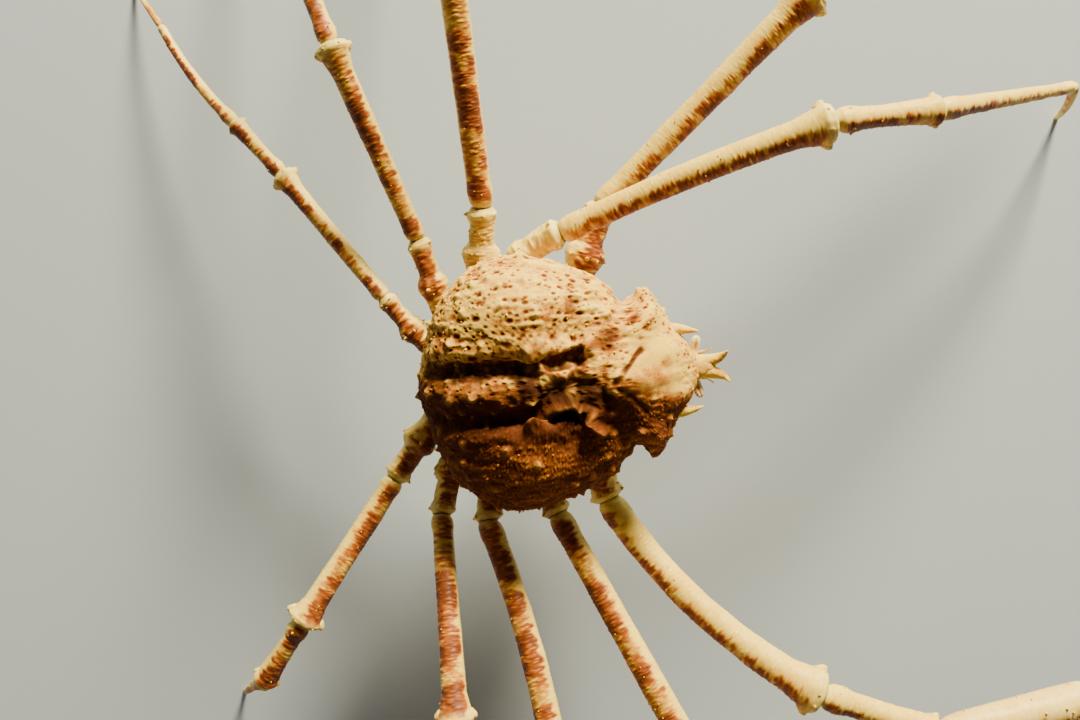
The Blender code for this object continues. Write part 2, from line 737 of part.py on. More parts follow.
def build_small_parts(under, eye):
    """Eyes, antennae, jaw feet and tail. Returns the grown copies that cut their sockets."""
    sockets = []
    for side, word in ((1, "left"), (-1, "right")):
        small = (
            ("eye", eye_rings(side), 8, eye),
            ("antenna", antenna_rings(side), 6, under),
            ("jaw_foot", jaw_rings(side), 8, under),
        )
        for label, rings, sides, finish in small:
            loft(f"{label}_{word}", rings, sides, finish)
            sockets.append(loft("socket", rings, sides, grow=GAP))
    loft("tail", tail_rings(), 10, under)
    sockets.append(loft("socket", tail_rings(), 10, grow=GAP))
    return sockets


def copy_of(item):
    twin = item.copy()
    twin.data = item.data.copy()
    bpy.context.scene.collection.objects.link(twin)
    return twin


def centre_model():
    """Puts the middle of the whole model's footprint at the origin."""
    meshes = [item for item in bpy.data.objects if item.type == "MESH"]
    places = [point.co for item in meshes for point in item.data.vertices]
    shift = Vector((0, 0, 0))
    for axis in (0, 1):
        reach = [place[axis] for place in places]
        shift[axis] = -(min(reach) + max(reach)) / 2
    for item in meshes:
        for point in item.data.vertices:
            point.co += shift


def finish_shading():
    for item in bpy.data.objects:
        if item.type == "MESH":
            item.data.shade_smooth()
            item.data.set_sharp_from_angle(angle=math.radians(40))


def main():
    clear_scene()
    draw = random.Random(SEED)
    shell = make_material("shell", SHELL_COLOUR, 0.62)
    limb = make_material("limb", LIMB_COLOUR, 0.55)
    under = make_material("underside", UNDERSIDE_COLOUR, 0.6)
    eye = make_material("eye", EYE_COLOUR, 0.2)

    carapace = build_carapace(shell)
    combine(carapace, front_spines() + shell_tubercles(draw), "UNION")
    chest = build_chest(under)

    sockets = [build_limb(name, pose, limb, draw) for name, pose in LIMB_POSES.items()]
    sockets += build_small_parts(under, eye)
    twins = [copy_of(socket) for socket in sockets]
    combine(chest, sockets, "DIFFERENCE")
    combine(carapace, twins, "DIFFERENCE")
    centre_model()
    finish_shading()


main()
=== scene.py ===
import itertools
import math
import random
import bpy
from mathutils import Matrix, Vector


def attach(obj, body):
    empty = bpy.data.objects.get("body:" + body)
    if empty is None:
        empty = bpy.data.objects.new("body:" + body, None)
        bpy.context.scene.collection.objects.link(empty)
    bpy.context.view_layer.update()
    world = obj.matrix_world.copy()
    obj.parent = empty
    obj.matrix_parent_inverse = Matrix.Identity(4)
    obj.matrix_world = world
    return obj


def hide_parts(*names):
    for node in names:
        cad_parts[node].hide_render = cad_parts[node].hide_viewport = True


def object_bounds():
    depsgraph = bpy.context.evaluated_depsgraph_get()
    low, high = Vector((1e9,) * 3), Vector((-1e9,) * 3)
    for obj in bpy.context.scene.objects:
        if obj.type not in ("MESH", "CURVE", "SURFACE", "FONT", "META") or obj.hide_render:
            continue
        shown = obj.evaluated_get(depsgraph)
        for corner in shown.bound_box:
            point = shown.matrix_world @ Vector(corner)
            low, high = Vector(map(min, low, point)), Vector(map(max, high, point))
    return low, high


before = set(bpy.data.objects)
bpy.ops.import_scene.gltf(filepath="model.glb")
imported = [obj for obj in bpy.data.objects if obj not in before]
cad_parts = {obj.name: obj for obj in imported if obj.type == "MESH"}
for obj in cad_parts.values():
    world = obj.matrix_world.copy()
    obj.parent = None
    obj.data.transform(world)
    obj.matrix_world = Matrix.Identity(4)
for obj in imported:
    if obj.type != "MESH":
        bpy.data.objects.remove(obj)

from types import SimpleNamespace

import bpy
import numpy as np
from mathutils import Matrix, Vector

CAD_LOW, CAD_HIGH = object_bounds()

ACROSS = np.array([1.0, 0.0, 0.0])
UP = np.array([0.0, 0.0, 1.0])
SIDES = ((1, "left"), (-1, "right"))
FAR = 9.0

# Sizes repeated from the part: the carapace

SHELL_LENGTH = 0.344
SHELL_HALF = SHELL_LENGTH / 2
SHELL_WAIST_Z = 0.268
CROWN_HEIGHT = 0.072
FLANK_DEPTH = 0.062
FRONT_FALL = 0.16
RIM_ANGLE = math.radians(134)
SHELL_BOX = 0.86
MIDDLE_WIDTH = 0.80
WIDTH_TAPER = 0.20
OUTLINE_BULGES = (
    (-0.45, 0.38, 0.09),
    (0.60, 0.12, 0.08),
    (0.42, 0.09, -0.15),
    (1.05, 0.20, -0.31),
    (-1.05, 0.16, -0.32),
)
SWELLINGS = {
    "gill_chamber": (-0.045, 0.088, 0.085, 0.050, 0.024),
    "stomach": (0.068, 0.0, 0.048, 0.046, 0.020),
    "forehead": (0.126, 0.024, 0.030, 0.020, 0.009),
    "liver": (0.094, 0.066, 0.026, 0.022, 0.013),
    "heart": (-0.010, 0.0, 0.034, 0.020, 0.010),
    "gut": (-0.092, 0.0, 0.056, 0.024, 0.013),
    "neck_groove": (0.018, 0.046, 0.020, 0.030, -0.013),
    "gill_groove": (-0.062, 0.036, 0.062, 0.010, -0.012),
}
FLANK_SWELLING = 0.35
FADE_SLOPE = 1.8
TUBERCLE_COUNT = 118
TUBERCLE_SPACING = 0.0185
TUBERCLE_HEIGHT = (0.0034, 0.0068)
TUBERCLE_RADIUS = (0.0030, 0.0046)
LOWEST_TUBERCLE = -0.42
SNOUT_START = 0.135
FOREHEAD_START = 0.075
FOREHEAD_HALF_WIDTH = 0.050
FOREHEAD_SHARE = 0.15
SEED = 27

# Spines of the front as root, control point, tip and radius: the tips are where the part has them, and
# the curves and widths are closer to the photo. Both horns share one root

FRONT_SPINES = {
    "horn": ((0.0066, -0.163, 0.270), (0.0046, -0.196, 0.270), (0.0190, -0.2035, 0.287), 0.0083),
    "brow_spine": ((0.0515, -0.132, 0.284), (0.0500, -0.151, 0.285), (0.0455, -0.1700, 0.290), 0.0070),
    "cheek_spine": ((0.0745, -0.104, 0.272), (0.0800, -0.110, 0.272), (0.0860, -0.1130, 0.274), 0.0058),
}
HORN_TAPER = ((0, 1.05), (0.30, 0.98), (0.55, 0.80), (0.72, 0.56), (0.88, 0.32), (0.97, 0.18), (1, 0.06))
HORN_SUNK = 0.012
HORN_SUNK_WIDTH = 1.15
HORN_GRAINS = 9
ROSTRUM_PATH = ((0, -0.148, 0.273), (0, -0.170, 0.2755), (0, -0.1900, 0.2750))
ROSTRUM_WIDTHS = ((0, 0.0165), (0.55, 0.0125), (0.85, 0.0085), (1, 0.0010))
ROSTRUM_FLATNESS = 0.52

# Underside, eyes and antennae, as on the part except for the eyes' radii and the seams of the chest

CHEST_TOP_Z = 0.2243
CHEST_DEPTH = 0.074
BELLY_Z = CHEST_TOP_Z - CHEST_DEPTH
CHEST_WIDTH = 0.79
CHEST_LENGTH = 0.84
CHEST_BACK = 0.018
CHEST_BOX = 0.45
CHEST_CURVE = 0.80
CHEST_STEEPEST = math.radians(80)
CHEST_SEAMS = 0.040
TAIL_PATH = ((0, 0.146, 0.030), (0, 0.132, -0.004), (0, -0.020, -0.001))
TAIL_LENGTHS = 7
TAIL_WIDTH = 0.034
TAIL_NARROWING = 0.022
TAIL_THICKNESS = 0.0055
JAW_PATH = ((0.0125, -0.034, 0), (0.0140, -0.080, -0.004), (0.0135, -0.104, 0.022))
JAW_WIDTHS = ((0, 0.0070), (0.15, 0.0105), (0.55, 0.0112), (0.62, 0.0098), (0.85, 0.0100), (1, 0.0060))
JAW_THICKNESS = 0.0060
EYE_PATH = ((0.0110, -0.164, 0.262), (0.0245, -0.16725, 0.265), (0.0380, -0.1705, 0.268))
EYE_RADII = ((0, 0.0058), (0.35, 0.0057), (0.58, 0.0060), (0.78, 0.0059), (0.92, 0.0046), (1, 0.0022))
ANTENNA_PATH = ((0.0150, -0.150, 0.250), (0.0130, -0.182, 0.248), (0.0215, -0.1870, 0.268))
ANTENNA_RADII = ((0, 0.0036), (0.3, 0.0034), (0.38, 0.0024), (0.60, 0.0022), (0.66, 0.0014), (1, 0.0007))

# Sizes repeated from the part: the limbs

LENGTH_NAMES = ("base", "merus", "carpus", "propodus", "dactylus")

# Each kind of limb: girth, then the lengths of merus, carpus, propodus and dactylus

LIMB_SIZES = {
    "cheliped": (0.0182, 0.362, 0.160, 0.215, 0.150),
    "leg1": (0.0166, 0.345, 0.140, 0.300, 0.115),
    "leg2": (0.0160, 0.345, 0.140, 0.295, 0.120),
    "leg3": (0.0132, 0.255, 0.118, 0.245, 0.115),
    "leg4": (0.0125, 0.214, 0.097, 0.190, 0.100),
}

# Each limb: stoutness, hip, knee, then the turn and rise in degrees of the same four lengths. The last
# length of a walking leg has its turn alone, because it ends on the floor

LIMB_POSES = {
    "cheliped_left": (
        0.91, (0.082, -0.020, 0.178), (0.2065, -0.0740, 0.190),
        (40.5, 10), (34, 4), (24, -8), (20, -12)),
    "cheliped_right": (
        1.04, (-0.082, -0.030, 0.178), (-0.175, -0.051, 0.190),
        (-46, 15), (-25, -2), (4, -8), (12, -12)),
    "leg1_left": (
        0.96, (0.096, 0.046, 0.194), (0.1775, -0.019, 0.240),
        (17, 13), (2, -16), (6, -35), -51),
    "leg1_right": (
        0.96, (-0.096, 0.046, 0.194), (-0.177, 0.017, 0.235),
        (-64.5, 18), (-57, -10), (-52, -49), -50),
    "leg2_left": (
        0.98, (0.097, 0.091, 0.194), (0.217, 0.0765, 0.225),
        (91.6, 14), (91, -12), (92, -42), 93),
    "leg2_right": (
        0.97, (-0.097, 0.091, 0.194), (-0.1775, 0.1065, 0.235),
        (-78.5, 20), (-82, -13), (-86, -58), -88),
    "leg3_left": (
        0.96, (0.064, 0.134, 0.194), (0.185, 0.161, 0.215),
        (107, 14), (107, -14), (110, -40), 113),
    "leg3_right": (
        1.06, (-0.064, 0.134, 0.194), (-0.164, 0.164, 0.235),
        (-88.8, 30), (-95, -20), (-100, -59), -103),
    "leg4_left": (
        0.88, (0.026, 0.148, 0.196), (0.116, 0.2115, 0.205),
        (126, -14), (129, -16), (125, -22), 124),
    "leg4_right": (
        1.14, (-0.026, 0.148, 0.196), (-0.119, 0.2225, 0.205),
        (-128.5, 15), (-128, -8), (-131, -60), -134),
}

# How far a length bows to its side

BOWS = {
    "cheliped_right": {"merus": 0.024},
    "leg1_left": {"base": -0.020, "merus": -0.006},
    "leg2_right": {"merus": -0.010},
    "leg4_left": {"propodus": -0.0065},
}

# Radii of each length beside the girth, by the place along it

PROFILES = {
    "base": (
        (0, 1.0), (0.34, 1.10), (0.50, 1.48), (0.56, 1.42), (0.63, 1.04), (0.84, 1.02),
        (0.94, 1.24), (1, 0.82)),
    "merus": (
        (0, 0.72), (0.018, 0.94), (0.05, 1.02), (0.10, 0.93), (0.35, 0.96), (0.65, 1.0),
        (0.86, 1.06), (0.93, 1.30), (0.965, 1.55), (0.988, 1.34), (1, 0.80)),
    "carpus": (
        (0, 0.66), (0.05, 0.92), (0.14, 0.98), (0.24, 0.82), (0.60, 0.84), (0.86, 0.98),
        (0.95, 1.16), (1, 0.68)),
    "propodus": (
        (0, 0.56), (0.025, 0.82), (0.08, 0.86), (0.15, 0.72), (0.55, 0.60), (0.90, 0.50),
        (0.97, 0.56), (1, 0.36)),
    "dactylus": ((0, 0.34), (0.06, 0.44), (0.20, 0.40), (0.50, 0.34), (0.80, 0.27), (1, 0.20)),
    "palm": (
        (0, 0.66), (0.04, 0.96), (0.12, 1.08), (0.40, 1.16), (0.75, 1.28), (0.93, 1.30), (1, 1.08)),
}
SEAM_TURN_IN = 3.2
CLAW_ARCH = 0.08
FOOT_RADIUS = 0.0032
FOOT_START = 0.80
STEEPEST_FOOT = 0.98
GAP = 0.0003
FIXED_FINGER = {"root": 0.58, "tip": 0.18, "bow": 0.75, "sunk": 0.90}
FIXED_RADII = ((0, 0.50), (0.18, 0.52), (0.45, 0.44), (0.75, 0.32), (1, 0.09))
MOVING_FINGER = {"root": 0.56, "tip": 0.14, "bow": 0.85}
MOVING_RADII = ((0, 0.44), (0.10, 0.54), (0.40, 0.42), (0.75, 0.30), (1, 0.09))
FINGER_FLATNESS = 0.86

# How softly a profile turns, in metres, and the radius, beside the limb's girth, above which a flare
# stands out more to the sides than up and down

SOFT_TURN = 0.0022
FLARE_START = {"base": 1.10, "merus": 1.06, "carpus": 0.98, "propodus": 0.86, "palm": 1.5}

# The side that the orange patches run along: the back of most limbs, leant away from the key light so
# that it is partly painted shade, and on the three forward limbs, which stand in the full light, only
# their edge away from it: the orange there is painted shade and their paler rest painted light. Then the
# bases that are paler than the others

PATCHY = {"stripe_shade_side": np.array([-0.74, 0.0, 0.67]), "stripe_from": 0.20, "stripe_to": 0.72, "tint": 1.0}
SHADE_EDGED = {"stripe_shade_side": np.array([-0.92, 0.0, 0.39]), "stripe_from": 0.30, "stripe_to": 0.88, "tint": 0.96}
SHADE_EDGED_LIMBS = ("cheliped_left", "leg1_left", "cheliped_right")
PALE_BASES = {"leg1_left": 1.0, "leg2_left": 1.0, "leg3_left": 0.3}

# What stands on each length. Knobs at its sides: place along it, height and radius beside the girth.
# Collars of knobs: place, count, shortest and longest, radius beside the girth. Spines: stretch, and the
# same three

SIDE_KNOBS = {"merus": (0.965, 0.34, 0.42), "carpus": (0.945, 0.22, 0.30)}
COLLARS = {
    "base": ((0.50, 7, (0.002, 0.005), 0.20), (0.94, 4, (0.002, 0.004), 0.16)),
    "pale base": ((0.50, 3, (0.002, 0.005), 0.20), (0.94, 4, (0.002, 0.004), 0.16)),
    "merus": ((0.975, 5, (0.001, 0.003), 0.14),),
    "carpus": ((0.13, 4, (0.001, 0.003), 0.12),),
    "propodus": ((0.965, 4, (0.001, 0.002), 0.09),),
}
SPINES = {
    "base": ((0.3, 0.9), 10, (0.0015, 0.0030), 0.10),
    "merus": ((0.05, 0.92), 26, (0.0010, 0.0022), 0.07),
    "carpus": ((0.05, 0.92), 12, (0.0010, 0.0020), 0.06),
    "propodus": ((0.05, 0.92), 12, (0.0008, 0.0016), 0.05),
    "palm": ((0.04, 0.97), 40, (0.0016, 0.0034), 0.12),
    "dactylus": ((0.08, 0.6), 10, (0.0008, 0.0016), 0.06),
}
FINGER_TEETH = 13

# Profiles of a spine and of a knob: share of the length, below 0 where it is sunk, and of the radius

SPINE_PROFILE = ((-0.35, 1.12), (0, 1), (0.28, 0.74), (0.55, 0.50), (0.80, 0.28), (0.96, 0.10), (1, 0.02))
KNOB_PROFILE = ((-0.60, 1.30), (0, 1.05), (0.30, 0.84), (0.55, 0.70), (0.75, 0.58), (0.90, 0.42), (1, 0.10))
KNOB_LEAN = 0.35

# The girth that the relief of the limbs is stated for

USUAL_GIRTH = 0.016

# Salts, which keep the scattered values of the pieces apart

FIRST_SALT = 100
LIMB_SALTS = 50
LENGTH_SALTS = 7
TIP_SALT = 40

# How fine the meshes are

RING_SPACING = 0.0008
LIMB_SIDES = 48
SLIM_SIDES = 40
SHELL_RINGS = 240
SHELL_SIDES = 900
CROWN_RINGS = (0.0006, 0.003, 0.007)
CROWN_END = 0.012
CHEST_RINGS = 60
CHEST_SIDES = 240
FRONT_RINGS = 40
HORN_SIDES = 32
ROSTRUM_SIDES = 40
TAIL_RINGS = 16
TAIL_SIDES = 48
SMALL_RINGS = 60
JAW_SIDES = 28
EYE_SIDES = 48
ANTENNA_SIDES = 16
KNOB_SIDES = 16


# Scattered values

def hashed(cells, salt):
    """A value from 0 to 1 for each whole-numbered cell."""
    mixed = (cells[..., 0] * 73856093) ^ (cells[..., 1] * 19349663) ^ (cells[..., 2] * 83492791)
    mixed = mixed ^ (salt * 40503)
    mixed = ((mixed ^ (mixed >> 13)) * 1274126177) & 0x7FFFFFFF
    mixed = ((mixed ^ (mixed >> 16)) * 668265263) & 0x7FFFFFFF
    return ((mixed ^ (mixed >> 15)) & 0xFFFF) / 0xFFFF


def noise(points, size, salt=0):
    """Smooth values from 0 to 1 that change over about the given size."""
    scaled = points / size
    base = np.floor(scaled).astype(np.int64)
    part = scaled - base
    part = part * part * (3 - 2 * part)
    total = np.zeros(points.shape[:-1])
    for corner in itertools.product((0, 1), repeat=3):
        weight = np.prod(np.where(np.array(corner) == 1, part, 1 - part), axis=-1)
        total += weight * hashed(base + np.array(corner), salt)
    return total


def spots(points, size, salt, chance):
    """The distance to the nearest of scattered spots, in sizes, and that spot's own value."""
    scaled = points / size
    base = np.floor(scaled).astype(np.int64)
    nearest = np.full(points.shape[:-1], FAR)
    value = np.zeros(points.shape[:-1])
    for corner in itertools.product((-1, 0, 1), repeat=3):
        cell = base + np.array(corner)
        centre = cell + np.stack([hashed(cell, salt + step) for step in (1, 2, 3)], axis=-1)
        own = hashed(cell, salt + 4)
        gap = np.linalg.norm(scaled - centre, axis=-1)
        closer = (gap < nearest) & (own < chance)
        nearest = np.where(closer, gap, nearest)
        value = np.where(closer, own / chance, value)
    return nearest, value


def scattered(points, size, salt, reach, growth=0.0, least=0.0, chance=1.0):
    """Round bumps at scattered spots, from 0 to 1. Each spot's own value sets its width and height."""
    distance, own = spots(points, size, salt, chance)
    dome = np.clip(1 - (distance / (reach + growth * own)) ** 2, 0, 1) ** 1.5
    return dome * (least + (1 - least) * own)


def ease(low, high, value):
    share = np.clip((value - low) / (high - low), 0, 1)
    return share * share * (3 - 2 * share)


def bump(distance, reach):
    return np.exp(-(distance / reach) ** 2)


# Skins: meshes with a value for tone, darkness and paleness at each point

class Skin:
    """Gathers closed grids of points into one mesh."""

    def __init__(self):
        self.points = []
        self.quads = []
        self.triangles = []
        self.looks = {"tone": [], "dark": [], "pale": []}
        self.ways = []
        self.count = 0

    def add(self, grid, tone, dark, pale, way=None):
        """A grid of rows that close round, with both ends closed by a fan. Way steers the fine grain."""
        rows, sides, _ = grid.shape
        ends = np.stack([grid[0].mean(axis=0), grid[-1].mean(axis=0)])
        self.points.append(np.concatenate([grid.reshape(-1, 3), ends]))
        way = grid if way is None else way
        self.ways.append(np.concatenate([way.reshape(-1, 3), way[0, :1], way[-1, :1]]))
        ring = np.arange(sides)
        following = (ring + 1) % sides
        starts = np.arange(rows - 1)[:, None] * sides
        here = (starts + ring).ravel()
        beside = (starts + following).ravel()
        self.quads.append(self.count + np.stack([here, beside, beside + sides, here + sides], axis=-1))
        last = (rows - 1) * sides
        first_fan = np.stack([following, ring, np.full(sides, rows * sides)], axis=-1)
        last_fan = np.stack([last + ring, last + following, np.full(sides, rows * sides + 1)], axis=-1)
        self.triangles += [self.count + first_fan, self.count + last_fan]
        for name, value in (("tone", tone), ("dark", dark), ("pale", pale)):
            spread = np.broadcast_to(value, (rows, sides))
            ends = [spread[0].mean(), spread[-1].mean()]
            self.looks[name].append(np.concatenate([spread.ravel(), ends]))
        self.count += rows * sides + 2

    def finish(self, name, node, slot):
        """Makes the piece, inside the box of the part, and hangs it on the frame."""
        mesh = bpy.data.meshes.new(name)
        points = np.clip(np.concatenate(self.points) + SHIFT, np.array(CAD_LOW), np.array(CAD_HIGH))
        quads = np.concatenate(self.quads)
        triangles = np.concatenate(self.triangles)
        corners = np.concatenate([quads.ravel(), triangles.ravel()])
        sizes = np.concatenate([np.full(len(quads), 4), np.full(len(triangles), 3)])
        mesh.vertices.add(len(points))
        mesh.vertices.foreach_set("co", points.astype(np.float32).ravel())
        mesh.loops.add(len(corners))
        mesh.loops.foreach_set("vertex_index", corners.astype(np.int32))
        mesh.polygons.add(len(sizes))
        mesh.polygons.foreach_set("loop_start", (np.cumsum(sizes) - sizes).astype(np.int32))
        mesh.update(calc_edges=True)
        mesh.validate()
        mesh.shade_smooth()
        for look, values in self.looks.items():
            layer = mesh.attributes.new(look, "FLOAT", "POINT")
            layer.data.foreach_set("value", np.concatenate(values).astype(np.float32))
        layer = mesh.attributes.new("way", "FLOAT_VECTOR", "POINT")
        layer.data.foreach_set("vector", np.concatenate(self.ways).astype(np.float32).ravel())
        mesh.materials.append(MATERIALS[slot])
        piece = bpy.data.objects.new(name, mesh)
        bpy.context.scene.collection.objects.link(piece)
        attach(piece, "root")
        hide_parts(node)


def add_piece(name, node, slot, grid, tone, dark, pale):
    skin = Skin()
    skin.add(grid, tone, dark, pale)
    skin.finish(name, node, slot)


def unit(vectors):
    return vectors / np.maximum(np.linalg.norm(vectors, axis=-1, keepdims=True), 1e-12)


def turns(sides):
    return math.tau * np.arange(sides) / sides


def ring_grid(centres, normals, side, radii, sides, flatness=1.0):
    """Points round each centre, and the outward direction of each."""
    first = unit(side - normals * (normals @ side)[:, None])
    second = unit(np.cross(normals, first))
    turn = turns(sides)
    across = first[:, None] * np.cos(turn)[:, None]
    outward = across + second[:, None] * np.sin(turn)[:, None]
    flattened = across + second[:, None] * (np.sin(turn) * flatness)[:, None]
    return centres[:, None] + flattened * radii[..., None], outward


def curve(path, shares):
    start, control, end = (np.array(place, float) for place in path)
    share = shares[:, None]
    return start * (1 - share) ** 2 + control * (2 * share * (1 - share)) + end * share ** 2


def curve_slopes(path, shares):
    start, control, end = (np.array(place, float) for place in path)
    share = shares[:, None]
    return unit((control - start) * (1 - share) + (end - control) * share)


def mirrored(path, side=1, rise=0.0):
    return [np.array(place) * (side, 1, 1) + (0, 0, rise) for place in path]


def tube(path, shares, side, radii, sides, flatness=1.0):
    """Points round a curved path, and the outward direction of each."""
    return ring_grid(curve(path, shares), curve_slopes(path, shares), side, radii, sides, flatness)


def flat_tube(path, shares, width, thick, sides):
    """Points round a curved path, as wide to the sides and as thick as the shares say."""
    second = unit(np.cross(curve_slopes(path, shares), ACROSS))
    turn = turns(sides)
    return (curve(path, shares)[:, None]
            + ACROSS * (np.cos(turn) * width[:, None])[..., None]
            + second[:, None] * (np.sin(turn) * thick[:, None])[..., None])


def own_places(radii, sides, along):
    """Where the points of a tube are in its own directions, which its patterns follow."""
    turn = turns(sides)
    return np.stack(np.broadcast_arrays(
        radii[:, None] * np.cos(turn), radii[:, None] * np.sin(turn), along[:, None]), axis=-1)


def smooth_radii(profile, shares, softness):
    """Radii of a profile with its corners rounded off."""
    values = np.interp(shares, *zip(*profile))
    reach = max(1, int(softness * len(shares)))
    kernel = np.hanning(2 * reach + 3)[1:-1]
    padded = np.concatenate([np.full(reach, values[0]), values, np.full(reach, values[-1])])
    return np.convolve(padded, kernel / kernel.sum(), mode="valid")


def add_spine(skin, root, direction, length, radius, sides, tone, pale):
    """A pointed spine that is sunk into the surface and grows paler towards its tip."""
    shares, sizes = np.array(SPINE_PROFILE).T
    centres = root + direction * (shares * length)[:, None]
    normals = np.broadcast_to(direction, centres.shape)
    side = unit(np.cross(direction, (0.31, 0.55, 0.77)))
    grid, _ = ring_grid(centres, normals, side, (sizes * radius)[:, None], sides)
    skin.add(grid, tone, 0.0, pale * np.clip(shares, 0, 1)[:, None])


# The carapace

def half_width(forward):
    width = MIDDLE_WIDTH - WIDTH_TAPER * forward
    for place, reach, size in OUTLINE_BULGES:
        width = width + size * bump(forward - place, reach)
    return width


def swelling_height(forward, aside):
    height = np.zeros(np.shape(forward))
    for ahead, apart, half_length, half_across, rise in SWELLINGS.values():
        for mirrored_apart in {apart, -apart}:
            across = bump(aside - mirrored_apart, half_across)
            height = height + rise * bump(forward - ahead, half_length) * across
    return height


def shell_points(down, turn):
    """Points of the shell, as the part has them, for angles from the crown and round it."""
    reach = np.sin(down) ** SHELL_BOX
    forward = reach * np.sin(turn)
    aside = reach * np.cos(turn) * half_width(forward)
    level = np.cos(down)
    height = np.where(level > 0, CROWN_HEIGHT, FLANK_DEPTH) * level * (1 - FRONT_FALL * forward)
    place = np.stack([SHELL_HALF * aside, -SHELL_HALF * forward, SHELL_WAIST_Z + height], axis=-1)
    fade = np.clip(level * FADE_SLOPE + FLANK_SWELLING, 0, 1)
    around = np.sin(down)
    outward = unit(np.stack([around * np.cos(turn), -around * np.sin(turn), np.maximum(level, 0.1)], axis=-1))
    rise = swelling_height(-place[..., 1], place[..., 0]) * fade
    return place + outward * rise[..., None]


def shell_normals(down, turn):
    step = 0.01
    short = np.minimum(step, down / 2)
    one = shell_points(down + short, turn) - shell_points(down - short, turn)
    two = shell_points(down, turn + step) - shell_points(down, turn - step)
    return unit(np.cross(two, one))


# Furrows and ridges of the shell as paths of (forward, aside), with half width, height and, for the furrows,
# how strongly shade is painted into them

FURROWS = (
    (((-0.150, 0.028), (-0.085, 0.028), (-0.040, 0.028)), 0.0085, -0.0065, 0.95),
    (((-0.014, 0.030), (0.024, 0.033)), 0.0090, -0.0065, 0.95),
    (((0.078, 0.104), (0.066, 0.072), (0.056, 0.038), (0.047, 0.012), (0.046, 0.0)), 0.0080, -0.0045, 0.16),
    (((0.097, 0.036), (0.080, 0.020), (0.062, 0.004)), 0.0045, -0.0022, 0.40),
    (((-0.034, 0.030), (-0.030, 0.0)), 0.0060, -0.0045, 0.60),
    (((-0.016, 0.0), (0.034, 0.0)), 0.0080, -0.0070, 1.00),
)
RIDGES = (
    (((-0.158, 0.0), (-0.100, 0.0), (-0.044, 0.0)), 0.0150, 0.0025),
    (((0.062, 0.0), (0.132, 0.0)), 0.0120, 0.0040),
    (((-0.142, 0.050), (-0.085, 0.048), (-0.030, 0.048)), 0.0120, 0.0055),
    (((-0.028, 0.044), (0.034, 0.045)), 0.0115, 0.0095),
)

# The two arches beside the heart, on the left and the right side

ARCHES = (
    ((-0.034, 0.034), (-0.018, 0.018), (0.004, 0.012), (0.024, 0.020), (0.042, 0.048)),
    ((-0.036, -0.042), (-0.020, -0.026), (0.004, -0.018), (0.026, -0.028), (0.044, -0.054)),
)
ARCH_REACH = 0.0052
ARCH_HEIGHTS = (0.0070, 0.0115)

# The trench between the gut, the heart and the right arch, where a shadow is painted dark into the colour

SHADOW_TRENCH = ((-0.050, 0.022), (-0.036, 0.000), (-0.022, -0.007), (0.034, -0.007), (0.046, -0.016))
SHADOW_TRENCH_REACH = 0.0105

# How far the lobes beside the snout stand further forward and inward than on the part

LOBE_PLACE = 0.088
LOBE_REACH = 0.028
LOBE_SIDES = (0.050, 0.088)
LOBE_FORWARD = 0.014
LOBE_INWARD = 0.004

# The render's tubercles: width of the foot beside the radius, sharpness, height on the forehead, and how
# pale the tips are on the left and on the right side, which is painted in shade; they meet at TIP_SHADE_EDGE

TUBERCLE_FOOT = 2.1
TUBERCLE_SHARPNESS = 1.25
FOREHEAD_HEIGHT = 0.3
TUBERCLE_TIPS = (0.2, 0.05)
TIP_SHADE_EDGE = -0.015

# Small spines between the tubercles: how many, level of the highest, chance on the forehead, sizes and
# the tone on the right and middle, browner as painted shade, and on the left, which meet at SPINE_SHADE_EDGE

SMALL_SPINES = 420
HIGHEST_SPINE = 0.92
FOREHEAD_SPINES = 0.1
SMALL_SPINE_HEIGHT = (0.0014, 0.0031)
SMALL_SPINE_RADIUS = (0.0012, 0.0022)
SMALL_SPINE_TONES = (0.62, 0.32)
SPINE_SHADE_EDGE = 0.034

# Zones of the relief, the same on both sides: forward, half length, aside and half width. Then where the
# rear and the middle fade out forward, and the edge of the bristly right side, which is also painted
# brown as shade: where it fades, its slant about a place and how far it wavers

ZONES = {
    "smooth": (0.112, 0.036, 0.014, 0.044),
    "liver": (0.098, 0.026, 0.080, 0.024),
    "gill": (-0.040, 0.085, 0.094, 0.044),
    "deep": (-0.080, 0.045, 0.066, 0.030),
}
SMOOTH_STRENGTH = 1.4
REAR_EDGE = (-0.05, -0.12)
MIDDLE_EDGE = (0.070, 0.045)
MIDDLE_REACH = 0.050
BRISTLY_SHADE_EDGE = (0.004, -0.034)
BRISTLY_SHADE_SLANT = 0.15
BRISTLY_SHADE_PLACE = 0.04
BRISTLY_SHADE_WAVER = 0.014

# Shade painted on the right side as its darkest brown: forward, aside, half length, half width and strength

PAINTED_SHADES = (
    (0.003, -0.046, 0.020, 0.013, 0.85),
    (-0.090, -0.046, 0.052, 0.028, 0.62),
    (0.070, -0.036, 0.026, 0.024, 0.50),
)

# Brown patches that only one side shows: forward, aside, size and strength. The first is a painted shadow in
# a small hollow

PATCHES = (
    (0.061, 0.053, 0.013, 0.66),
    (0.082, 0.074, 0.007, 0.62),
    (0.104, 0.067, 0.006, 0.55),
    (0.126, 0.018, 0.006, 0.34),
    (0.122, -0.002, 0.016, 0.26),
    (0.096, 0.000, 0.020, 0.30),
    (-0.010, 0.083, 0.009, 0.45),
    (0.018, 0.093, 0.008, 0.45),
)


def path_distance(forward, aside, path):
    nearest = np.full(np.shape(forward), FAR)
    for (f1, a1), (f2, a2) in zip(path, path[1:]):
        span = (f2 - f1) ** 2 + (a2 - a1) ** 2
        share = np.clip(((forward - f1) * (f2 - f1) + (aside - a1) * (a2 - a1)) / span, 0, 1)
        gap = np.hypot(forward - f1 - (f2 - f1) * share, aside - a1 - (a2 - a1) * share)
        nearest = np.minimum(nearest, gap)
    return nearest


